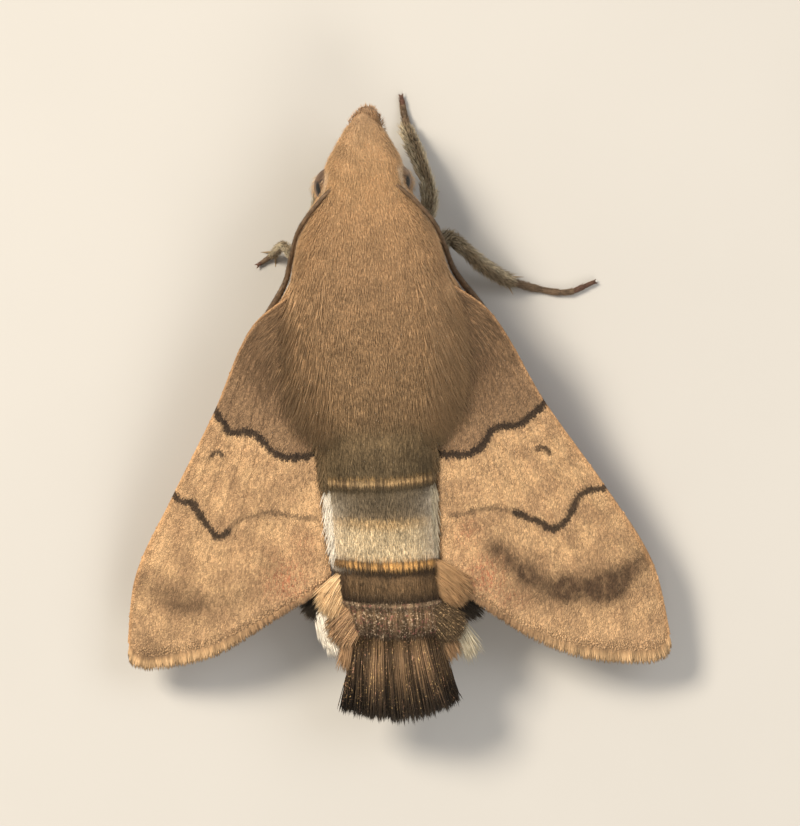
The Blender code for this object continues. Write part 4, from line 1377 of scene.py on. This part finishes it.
# Legs: the solids' own routes with thinner shells for thigh, shin, five foot joints, spurs and claws
legPlan = {
    "radii": {"hip": 0.25, "thigh": 0.32, "knee": 0.25, "shin": 0.27, "ankle": 0.17, "foot": 0.17},
    "slim": {"midleg_left": 0.72, "foreleg_left": 0.85},  # the left feet show as thin as in the photo
    "rootLift": -0.30,
    "overlap": 0.05,  # millimetres by which each joint's shells share their route
    "joints": (0, 0.40, 0.60, 0.75, 0.87, 1.0),  # where the foot's joints end, as shares of the foot
    "claw": {"length": 0.15, "width": 0.045, "window": (0.955, 0.965)},
    "spur": {"length": 0.95, "width": 0.07, "window": (0.97, 0.98)},
    "sole": 0.08,  # what would reach below the floor is pressed into this height above it
    "coat": {"length": 0.46, "amount": 180e6, "stray": 0.18},
    "lift": 19,
    # name: (side, root place, root degrees, points, numbers of the knee and ankle points, spurs)
    "legs": {
        "foreleg_right": (1, 8.5, -46, (
            (3.10, 9.35, 2.55), (3.30, 10.5, 2.50), (2.95, 12.1, 1.75),
            (2.50, 13.6, 0.60), (2.32, 14.6, 0.19), (2.24, 15.5, 0.19),
        ), 2, 4, 0),
        "foreleg_left": (-1, 8.5, -46, (
            (2.55, 9.60, 1.95), (2.25, 10.7, 1.50), (1.60, 11.9, 0.65), (1.15, 12.8, 0.19),
            (0.95, 13.5, 0.19),
        ), 1, 3, 0),
        "midleg_right": (1, 6.8, -36, (
            (3.95, 7.95, 2.95), (4.65, 7.65, 3.00), (5.70, 6.65, 2.15), (6.95, 5.80, 0.95),
            (8.36, 5.25, 0.19), (9.90, 4.95, 0.19), (11.35, 5.38, 0.19),
        ), 2, 4, 2),
        "midleg_left": (-1, 6.8, -36, (
            (3.80, 7.70, 2.75), (4.15, 8.25, 2.45), (4.45, 8.25, 1.45),
            (4.80, 7.95, 0.50), (5.20, 7.70, 0.19), (5.65, 7.45, 0.19),
        ), 2, 4, 2),
        "hindleg_right": (1, 1.9, -34, (
            (4.75, 0.75, 2.65), (5.45, -0.80, 2.25), (6.15, -2.70, 1.10),
            (6.60, -4.40, 0.19), (6.85, -5.80, 0.19), (7.10, -7.40, 0.19),
        ), 2, 4, 2),
    },
    "tones": {
        "upper": (132, 118, 94), "pale": (206, 192, 162), "shin": (120, 104, 80), "foot": (106, 86, 66),
        "end": (88, 60, 47), "spur": (150, 128, 98),
    },
}
legPlan["legs"]["hindleg_left"] = (-1, *legPlan["legs"]["hindleg_right"][1:])


def limb(kind, route, widths, sides, window):
    # A closed shell along a route, with its unwrap, the ways that its coat lies and faces, and its kind:
    # 0 thigh, 1 shin, 2 foot, 3 end of the foot, 4 spur
    points, faces = sweep(route, widths, sides)
    turn = np.tile(np.arange(sides) / sides, len(route))
    along = np.repeat(np.linspace(*window, len(route)), sides)
    places = together(np.append(turn, (0.5, 0.5)), np.append(along, window))
    heading = unit(np.gradient(route, axis=0))
    lie = np.concatenate([np.repeat(heading, sides, axis=0), -heading[:1], heading[-1:]])
    out = points - np.concatenate([np.repeat(route, sides, axis=0), route[:1], route[-1:]])
    out[-2], out[-1] = -heading[0], heading[-1]
    return points, faces, places, lie, unit(out), np.full(len(points), float(kind))


def spike(kind, root, aim, length, width, window):
    # A thin curved point, for spurs and claws
    share = np.linspace(0, 1, 7)[:, None]
    route = root + unit(aim) * length * share + np.array((0, 0, -0.12)) * length * share**2
    return limb(kind, route, width * (1 - 0.9 * share[:, 0]) + 0.006, 8, window)


def legShells(name):
    side, rootY, rootDegrees, points, knee, ankle, spurs = legPlan["legs"][name]
    wide = {key: value * legPlan["slim"].get(name, 1.0) for key, value in legPlan["radii"].items()}
    root = bodyPoint(rootY, rootDegrees, legPlan["rootLift"], side)[0][0]
    turns = np.vstack([root, np.array(points) * (side, 1, 1)])
    route = smoothPath(turns, 400)
    lap = legPlan["overlap"] / np.linalg.norm(np.diff(route, axis=0), axis=1).sum()

    def shareOf(spot):
        # How far along the route its nearest point to a spot lies
        return np.argmin(np.linalg.norm(route - spot, axis=1)) / (len(route) - 1)

    def part(start, end, count):
        return readLine(route, np.linspace(max(start - lap, 0), min(end + lap, 1), count))

    kneeAt, ankleAt = shareOf(turns[knee]), shareOf(turns[ankle])
    bulge = np.linspace(0, 1, 26)
    thigh = np.interp(bulge, (0, 0.25, 0.7, 1), (
        wide["hip"], wide["thigh"], wide["thigh"] * 0.95, wide["knee"],
    ))
    shin = np.interp(bulge, (0, 0.15, 0.6, 0.92, 1), (
        wide["knee"] * 0.8, wide["knee"], wide["shin"], wide["shin"] * 0.9, wide["ankle"],
    ))
    shells = [
        limb(0, part(0, kneeAt, 26), thigh * (1 - 0.35 * hump(1, 0.05, bulge)), 18, (0.0, 0.3)),
        limb(1, part(kneeAt, ankleAt, 26), shin, 18, (0.3, 0.6)),
    ]
    marks = ankleAt + (1 - ankleAt) * np.array(legPlan["joints"])
    share = np.linspace(0, 1, 12)
    for number, (start, end) in enumerate(zip(marks, marks[1:])):
        size = wide["foot"] * (1 - 0.07 * number) * (0.72 + 0.28 * step(0, 0.25, share) + 0.10 * share)
        size = size * (1 - 0.3 * hump(1, 0.06, share))
        if number == 4:
            size = size * (1 - 0.25 * share)
        low = 0.6 + 0.07 * number
        shells.append(limb(2 if number < 3 else 3, part(start, end, 12), size, 14, (low, low + 0.07)))
    ahead = unit(route[-1] - route[-12])
    across = unit(np.cross(ahead, (0, 0, 1)))
    down = unit(turns[ankle] - turns[ankle - 1])
    flat = unit(np.cross(down, (0, 0, 1)))
    anklePoint = readLine(route, ankleAt - 0.01)
    for turn in (1, -1):  # claws
        aim = ahead + across * turn * 0.40 + np.array((0, 0, 0.10))
        claw = route[-1] - ahead * 0.04 + across * turn * 0.05
        shells.append(spike(3, claw, aim, **legPlan["claw"]))
    for turn in (1, -1)[:spurs]:
        aim = down + flat * turn * 0.45 + np.array((0, 0, 0.06))
        shells.append(spike(4, anklePoint + flat * turn * 0.12, aim, **legPlan["spur"]))
    low = legPlan["sole"]
    for shell in shells:
        height = shell[0][:, 2]
        shell[0][:, 2] = np.where(height < low, low * np.exp((height - low) / low), height)
    return shells


def makeLegFinish(onCoat):
    paint = Finish("leg scales" if onCoat else "leg", 0.6, 0.2)
    kind, tones = paint.read("kind"), legPlan["tones"]
    paint.start(paint.between(kind, 0.4, 0.6), tones["upper"], tones["shin"])
    edge = paint.between(paint.work("ABSOLUTE", paint.axes("facing")["X"]), 0.35, 0.85)
    paint.over(paint.times(edge, 0.75), tones["pale"])
    for low, key in ((1.4, "foot"), (2.4, "end"), (3.4, "spur")):
        paint.over(paint.between(kind, low, low + 0.2), tones[key])
    grain = paint.noise(2600.0, 3.0)
    paint.shade(grain, 0.3, 0.7, 0.72, 1.15)
    if onCoat:
        paint.shadeTint(0.68, 1.3)
        # Painted shade: each scale darker towards its root, deep in the coat
        paint.shade(paint.read("along"), 0, 0.6, 0.6, 1.0)
    else:
        paint.bump(grain, 0.00004)
    return paint.done()


def makeLimbPiece(name, slot, node, side, shells, finish, coatFinish, coat):
    points, faces = joinShells(shells)
    places, lie, out, kind = (np.concatenate([shell[k] for shell in shells]) for k in (2, 3, 4, 5))
    shown = {"kind": kind, "facing": out}
    makePiece(name, slot, makeMesh(name, points, faces, shown, places), finish, node)
    # The coat is longer on the outside of thigh and shin, and short and sparse near the floor
    lift = math.radians(legPlan["lift"])
    height = points[:, 2]
    length = np.where(kind < 2, 1.0 + 0.6 * np.clip(-side * out[:, 0], 0, 1), 0.55)
    host = makeMesh(name + "Host", points, faces, {
        **shown, "lie": lie * math.cos(lift) + out * math.sin(lift), "up": out,
        "coatLength": length * (0.5 + 0.5 * step(0.0, 0.6, height)),
        "coatDensity": (kind < 4) * np.where(kind > 2, 0.25, 1.0) * step(0.04, 0.10, height),
    }, places)
    grow(name + "Coat", slot, host, "flat", finish=coatFinish, seed=80 + len(name), **coat)


finishes = makeLegFinish(False), makeLegFinish(True)
for node, leg in legPlan["legs"].items():
    first, second = node.split("_")
    coat = {**legPlan["coat"], "length": legPlan["coat"]["length"] * legPlan["slim"].get(node, 1.0) ** 2}
    makeLimbPiece(first + second.capitalize(), "leg", node, leg[0], legShells(node), *finishes, coat)
print("legs made")

# Feelers, laid back along the head and under the wing bases
feelerPlan = {
    # place along Y, degrees round the body, lift; then points in the moth's own frame
    "start": (
        (11.9, 62, -0.35), (11.2, 50, -0.30), (10.3, 32, 0.06), (9.0, 9, 0.20), (7.7, -14, 0.30),
        (6.4, -21, 0.48),
    ),
    "rest": ((5.45, 4.5, 3.85), (6.3, 2.75, 3.70), (6.7, 2.3, 3.6)),
    "radii": (0.10, 0.10, 0.10, 0.11, 0.12, 0.14, 0.18, 0.19, 0.05),
    "ringStep": 0.16,
    "coat": {"length": 0.14, "amount": 150e6, "stray": 0.10},
    "upper": (108, 85, 62), "lower": (58, 45, 34),
}


def feelerShell(side):
    start = [bodyPoint(y, degrees, lift, side)[0][0] for y, degrees, lift in feelerPlan["start"]]
    turns = np.vstack([start, np.array(feelerPlan["rest"]) * (side, 1, 1)])
    route = smoothPath(np.column_stack([turns, feelerPlan["radii"]]), 260)
    length = np.concatenate([[0], np.cumsum(np.linalg.norm(np.diff(route[:, :3], axis=0), axis=1))])
    rings = 1 + 0.07 * np.abs(np.sin(np.pi * length / feelerPlan["ringStep"]))
    return limb(0, route[:, :3], route[:, 3] * rings, 14, (0.02, 0.95))


def makeFeelerFinish(onCoat):
    paint = Finish("feeler scales" if onCoat else "feeler", 0.55, 0.1)
    paint.start(paint.between(paint.axes("facing")["Z"], -0.3, 0.7), feelerPlan["lower"], feelerPlan["upper"])
    grain = paint.noise(4000.0, 3.0)
    paint.shade(grain, 0.3, 0.7, 0.7, 1.15)
    if onCoat:
        paint.shadeTint(0.75, 1.2)
    else:
        paint.bump(grain, 0.00003)
    return paint.done()


finishes = makeFeelerFinish(False), makeFeelerFinish(True)
for side, word in bothSides:
    node = "antenna_" + word.lower()
    makeLimbPiece("feeler" + word, "feeler", node, side, [feelerShell(side)], *finishes, feelerPlan["coat"])
print("feelers made")

# Eyes: faceted domes with a painted pseudopupil, a dark spot and fainter ones round it, fixed on the eye
# where a real eye's spots move with the viewer
eyeLook = {
    "rings": 64, "sides": 96, "poleGap": 0.03,
    "spot": (0.80, -0.14, 0.58),  # the way that the darkest spot faces on the right eye
    "spotSize": (0.27, 0.14),  # where it fades out and where it is full
    "spotStretch": (1.0, 0.5, 1.0),  # the spot is twice as long as it is wide
    "faintStep": 0.46,  # how far the fainter spots lie from it, as an angle
    "faintSize": (0.16, 0.05),
    "facets": 34.0,
    "base": (122, 94, 68), "edge": (84, 62, 45), "dark": (12, 9, 8),
}


def makeEyeFinish(word):
    paint = Finish("eye " + word, 0.42)
    paint.inputs["Coat Weight"].default_value = 0.1
    paint.inputs["Coat Roughness"].default_value = 0.2
    paint.start(paint.between(paint.noise(900.0, 3.0), 0.35, 0.65), eyeLook["base"], eyeLook["edge"])
    # Painted pseudopupil: the fainter dark spots, then the darkest one
    paint.over(paint.between(paint.read("faintAngle"), *eyeLook["faintSize"], 0, 0.55), eyeLook["dark"])
    paint.over(paint.between(paint.read("spotAngle"), *eyeLook["spotSize"]), eyeLook["dark"])
    cells = put(paint.tree, "ShaderNodeTexVoronoi", {
        "Scale": eyeLook["facets"], "Vector": paint.read("facing", "Vector"),
    })
    paint.bump(cells, 0.00002, 0.35)
    return paint.done()


def makeEye(side, word):
    rows, sides = eyeLook["rings"], eyeLook["sides"]
    tilt = np.linspace(eyeLook["poleGap"], math.pi - eyeLook["poleGap"], rows)[:, None]
    turn = np.linspace(0, 2 * np.pi, sides, endpoint=False)
    rings = together(np.cos(tilt), np.sin(tilt) * np.cos(turn), np.sin(tilt) * np.sin(turn))
    facing, faces = closeRings(list(rings), [(1, 0, 0), (-1, 0, 0)])
    aim = unit(np.array(eyeLook["spot"]) * (side, 1, 1))
    first = unit(np.cross(aim, (0, 1, 0)))
    second = np.cross(aim, first)
    faint = np.full(len(facing), 9.0)
    for angle in (k * math.pi / 3 for k in range(6)):
        turned = aim + math.tan(eyeLook["faintStep"]) * (math.cos(angle) * first + math.sin(angle) * second)
        faint = np.minimum(faint, np.arccos(np.clip(facing @ unit(turned), -1, 1)))
    places = together(np.arctan2(facing[:, 1], facing[:, 2]) / (2 * np.pi) + 0.5, facing[:, 0] * 0.48 + 0.5)
    points = np.array(eyePlan["place"]) * (side, 1, 1) + facing * eyePlan["radius"]
    mesh = makeMesh("eye" + word, points, faces, {
        "facing": facing, "spotAngle": np.linalg.norm((facing - aim) * eyeLook["spotStretch"], axis=1),
        "faintAngle": faint,
    }, places)
    makePiece("eye" + word, "eye", mesh, makeEyeFinish(word.lower()), "eye_" + word.lower())


for side, word in bothSides:
    makeEye(side, word)
print("eyes made")

# Floor and light
stagePlan = {
    "floor": ((193, 190, 184), (195, 192, 186)),
    "sky": (0.97, 0.95, 0.93, 1.0),
    "skyStrength": 0.40,
    # azimuth and height in degrees, distance and size in metres, watts, colour
    "lamps": {
        "key": (-52, 46, 0.42, 0.13, 2.2, (1.0, 0.90, 0.76)),
        "fill": (70, 50, 0.50, 0.30, 0.7, (0.95, 0.96, 1.0)),
        "back": (165, 40, 0.45, 0.20, 0.6, (1.0, 0.94, 0.86)),
    },
}
bpy.ops.mesh.primitive_plane_add(size=3.0, location=(0.0, 0.0, 0.0))
floor = bpy.context.object
floor.name = "floor"
paint = Finish("floor", 0.8)
paint.start(paint.between(paint.noise(60.0, 3.0), 0.3, 0.7), *stagePlan["floor"])
floor.data.materials.append(paint.done())
scene.world = bpy.data.worlds.new("studio")
scene.world.use_nodes = True
sky = scene.world.node_tree.nodes["Background"].inputs
sky["Color"].default_value = stagePlan["sky"]
sky["Strength"].default_value = stagePlan["skyStrength"]
for name, (azimuth, height, distance, size, watts, colour) in stagePlan["lamps"].items():
    light = bpy.data.lights.new(name, "AREA")
    light.energy = watts
    light.size = size
    light.color = colour
    lamp = addObject(name, light)
    turn, rise = math.radians(azimuth), math.radians(height)
    away = Vector((math.sin(turn) * math.cos(rise), math.cos(turn) * math.cos(rise), math.sin(rise)))
    lamp.location = away * distance
    lamp.rotation_euler = (-away).to_track_quat("-Z", "Y").to_euler()
print("stage set")

for shelf in shelves.values():
    for item in list(shelf.objects):
        bpy.data.objects.remove(item, do_unlink=True)
    bpy.data.collections.remove(shelf)
